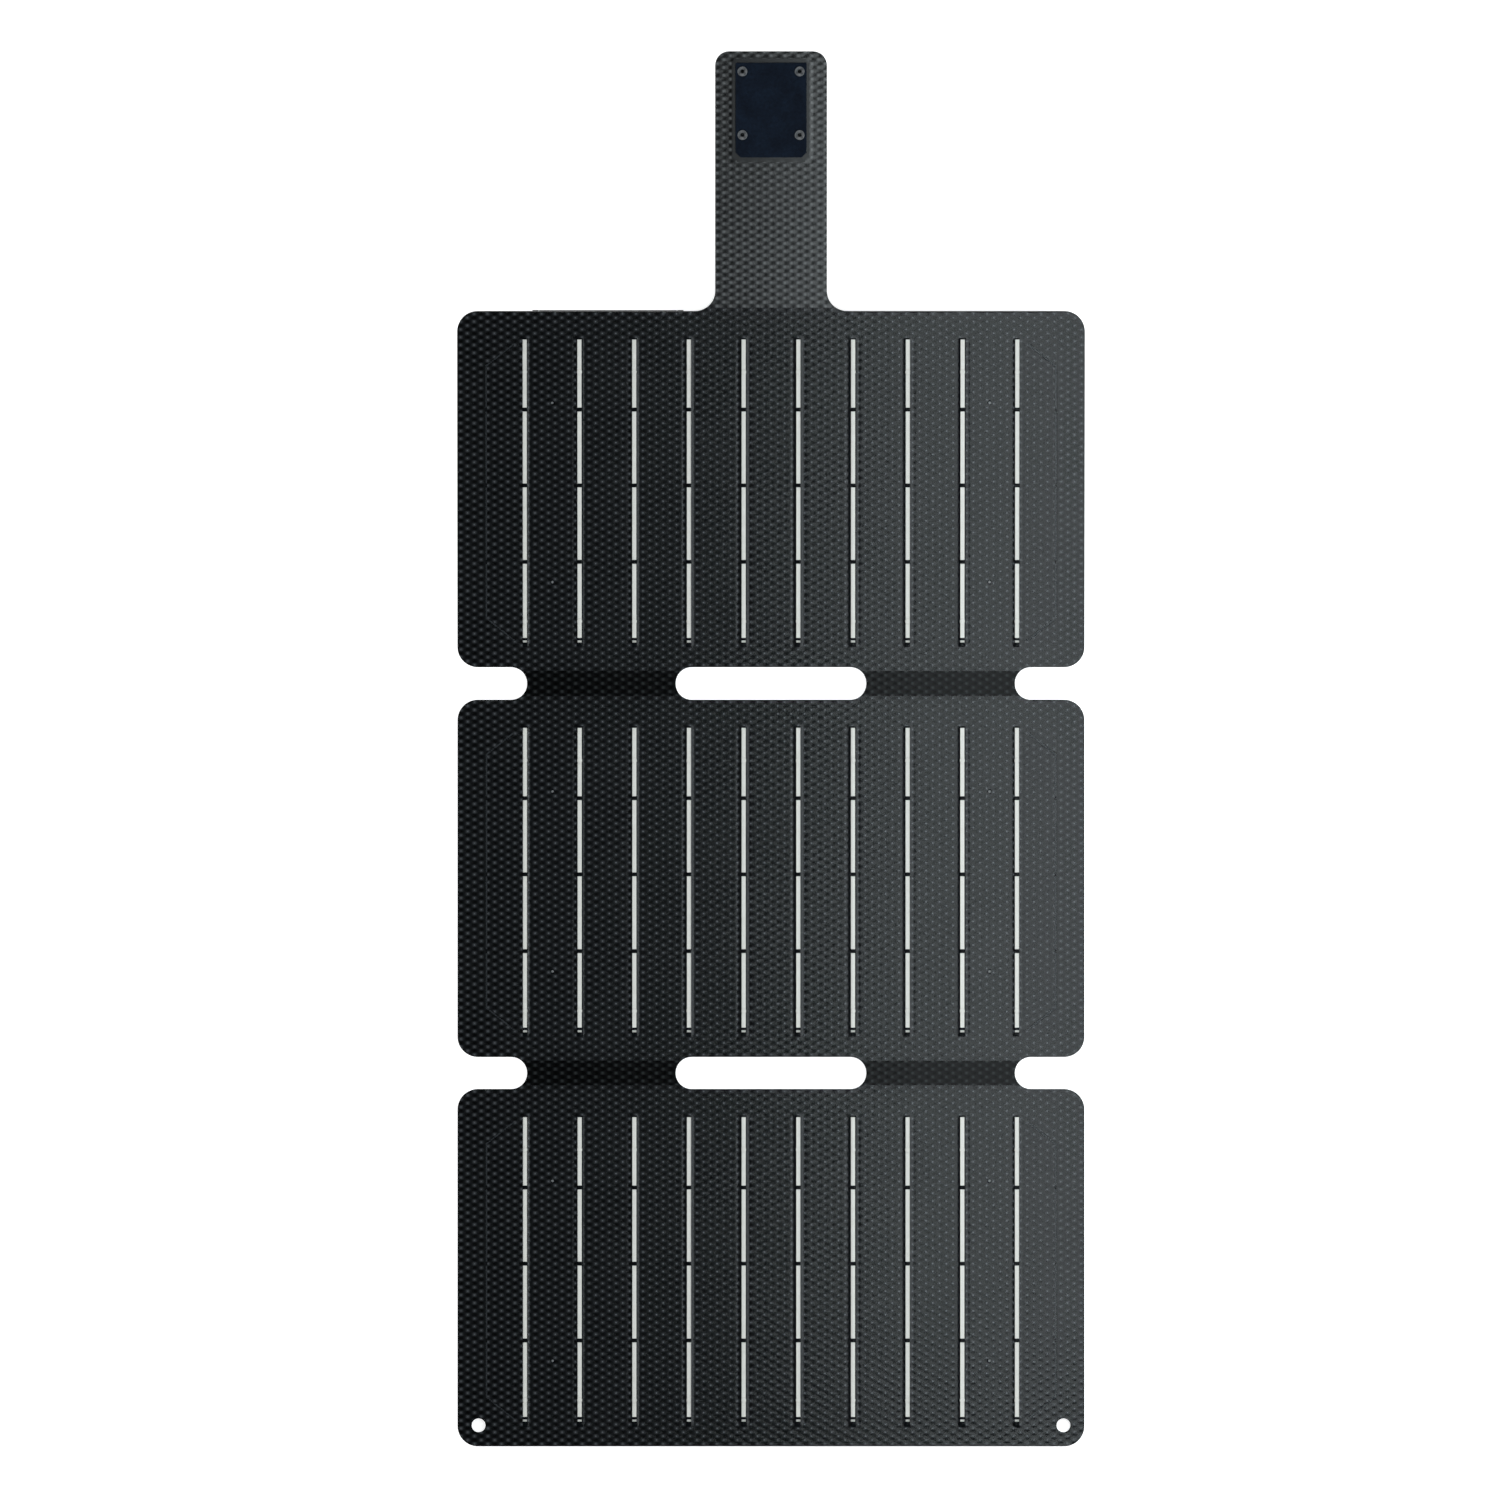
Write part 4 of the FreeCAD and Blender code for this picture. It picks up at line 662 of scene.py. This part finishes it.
# Its second colour is a painted highlight on the bumps, its black third colour painted shade in the dimples.
flap_film = film_finish("pressed_flap_film", (0.0115, 0.012, 0.0125), (0.078, 0.083, 0.086), (0, 0, 0),
                        IOR=1.45)
bm = pressed_sheet((-ROOT_ARC_X - 0.1, ROOT_ARC_X + 0.1, LUG, ROOT_END), root_edge, pressed_height, 0.0,
                   (ACROSS / 4, 0.5), UPPER, soft=True)
root = new_piece("flap_root", bm, flap_film, cut_edge, woven_back)
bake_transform(root)
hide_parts("flap_root_film", "flap_root_backing")

bm = pressed_sheet((-FLAP_HALF - 0.1, FLAP_HALF + 0.1, ROOT_END, FLAP_TIP + 0.3), flap_edge, flap_height,
                   FLAP_LOW, (ACROSS / 4, 0.5), UPPER,
                   window=lambda x, y: WINDOW if box_edge(x, y, *PATCH, 1.0) < 1.4 else 0)
flap = new_piece("flap_front_sheet", bm, flap_film, cut_edge, seal_black)
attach(flap, "closing_flap")
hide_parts("flap_film")

# ---------------------------------------------------------------------------
# The hook and loop patches: hook tape on the flap's face, held by four rivets,
# and a soft loop patch on the middle panel's back that it lands on.


def pile_finish(name, dark, light):
    """A dense pile of small hooks or loops, brushed a little paler in places."""
    material, tree, shader = new_finish(name, Roughness=0.95, Specular_IOR_Level=0.10, Sheen_Weight=0.06,
                                        Sheen_Roughness=0.4)
    place = add(tree, "ShaderNodeTexCoord")
    tuft = add(tree, "ShaderNodeTexNoise", in_Scale=1100.0, in_Detail=4.0)
    brushed = add(tree, "ShaderNodeTexNoise", in_Scale=160.0, in_Detail=2.0)
    mixed = add(tree, "ShaderNodeMath", operation="MULTIPLY")
    tone = add(tree, "ShaderNodeMix", data_type="RGBA", in_6=(*dark, 1), in_7=(*light, 1))
    bump = add(tree, "ShaderNodeBump", in_Strength=0.8, in_Distance=0.0003)
    wire(tree, (place.outputs["Object"], tuft.inputs["Vector"]),
         (place.outputs["Object"], brushed.inputs["Vector"]),
         (tuft.outputs["Fac"], mixed.inputs[0]), (brushed.outputs["Fac"], mixed.inputs[1]),
         (mixed.outputs[0], tone.inputs[0]), (tone.outputs[2], shader.inputs["Base Color"]),
         (tuft.outputs["Fac"], bump.inputs["Height"]), (bump.outputs[0], shader.inputs["Normal"]))
    return material


def hook_edge(x, y):
    """The hook patch's outline, with two clipped corners and the rivets' holes."""
    outline = box_edge(x, y, *PATCH, 0.3)
    clip = (abs(x) + (PATCH[2] - y) - (PATCH[1] - 1.6)) / math.sqrt(2)
    return max(outline, clip, RIVET_HOLE - min(math.hypot(x - a, y - b) for a, b in RIVETS))


NAP, BROAD_NAP, PILE_SINK, EDGE_SINK = 0.07, 0.04, 0.14, 0.18


def pile_height(top, edge):
    """An uneven pile's face, which rounds off towards the patch's edge."""
    def height(x, y):
        inner = min(1, max(0, -edge(x, y) / 0.5))
        nap = NAP * noise.noise(Vector((x * 1.6, y * 1.6, 0.3)))
        nap += BROAD_NAP * noise.noise(Vector((x * 0.4, y * 0.4, 7.7)))
        return top - PILE_SINK + nap * inner - EDGE_SINK * (1 - inner) ** 2
    return height


HOOK_THICK, LOOP_THICK, LOOP_HALF_WIDE, LOOP_HALF_LONG = 1.0, 0.8, 13.0, 18.0
hook_pile = pile_finish("hook_pile", (0.001, 0.002, 0.005), (0.008, 0.017, 0.034))
bm = pressed_sheet((PATCH[0] - 0.1, PATCH[1] + 0.1, PATCH[2] - 0.1, PATCH[3] + 0.1), hook_edge,
                   pile_height(FRONT + HOOK_THICK, hook_edge), FRONT - 0.04, (0.35, 0.35), UPPER)
hooks = new_piece("hook_tape", bm, hook_pile, hook_pile, hook_pile)
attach(hooks, "closing_flap")
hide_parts("hook_patch")

LOOP_Y = 0.5 * (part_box("loop_patch")[0].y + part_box("loop_patch")[1].y) / MM


def loop_edge(x, y):
    return box_edge(x, y, -LOOP_HALF_WIDE, LOOP_HALF_WIDE, -LOOP_HALF_LONG, LOOP_HALF_LONG, 2.0)


loop_pile = pile_finish("loop_pile", (0.006, 0.007, 0.009), (0.035, 0.038, 0.045))
bm = pressed_sheet((-LOOP_HALF_WIDE - 0.1, LOOP_HALF_WIDE + 0.1, -LOOP_HALF_LONG - 0.1, LOOP_HALF_LONG + 0.1),
                   loop_edge, pile_height(LOOP_THICK, loop_edge), 0.0, (0.4, 0.4),
                   Matrix.Translation((0, LOOP_Y, GROUND_GAP)) @ Matrix.Rotation(math.pi, 4, "Y"))
loops = new_piece("loop_tape", bm, loop_pile, loop_pile, loop_pile)
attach(loops, "middle_panel")
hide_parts("loop_patch")

# The four hollow rivets of the hook patch: a rolled ring in front, a barrel, and
# a flatter ring behind the flap.
SECTION = [(0, -0.30), (1.5, -0.30), (1.78, -0.20), (1.80, -0.02), (1.0, 0.0), (1.0, 3.0), (1.52, 3.0),
           (1.60, 3.08), (1.60, 3.18), (1.52, 3.27), (1.40, 3.30), (1.28, 3.26), (1.16, 3.12), (0.80, 2.98),
           (0.60, 2.80), (0.55, 0.05), (0, 0.0)]
bm = bmesh.new()
for a, b in RIVETS:
    ring = [bm.verts.new((a + r, b, z)) for r, z in SECTION]
    edges = [bm.edges.new(ends) for ends in zip(ring, ring[1:])]
    bmesh.ops.spin(bm, geom=ring + edges, cent=(a, b, 0), axis=(0, 0, 1), angle=2 * math.pi, steps=28,
                   use_merge=True, use_duplicate=False)
bmesh.ops.remove_doubles(bm, verts=bm.verts, dist=1e-4)
bmesh.ops.recalc_face_normals(bm, faces=bm.faces)
for face in bm.faces:
    face.smooth = True
bmesh.ops.transform(bm, verts=bm.verts, matrix=Matrix.Scale(MM, 4) @ UPPER)
rivets = new_piece("hollow_rivets", bm, finishes["rivet_metal"])
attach(rivets, "closing_flap")
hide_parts("patch_rivets")
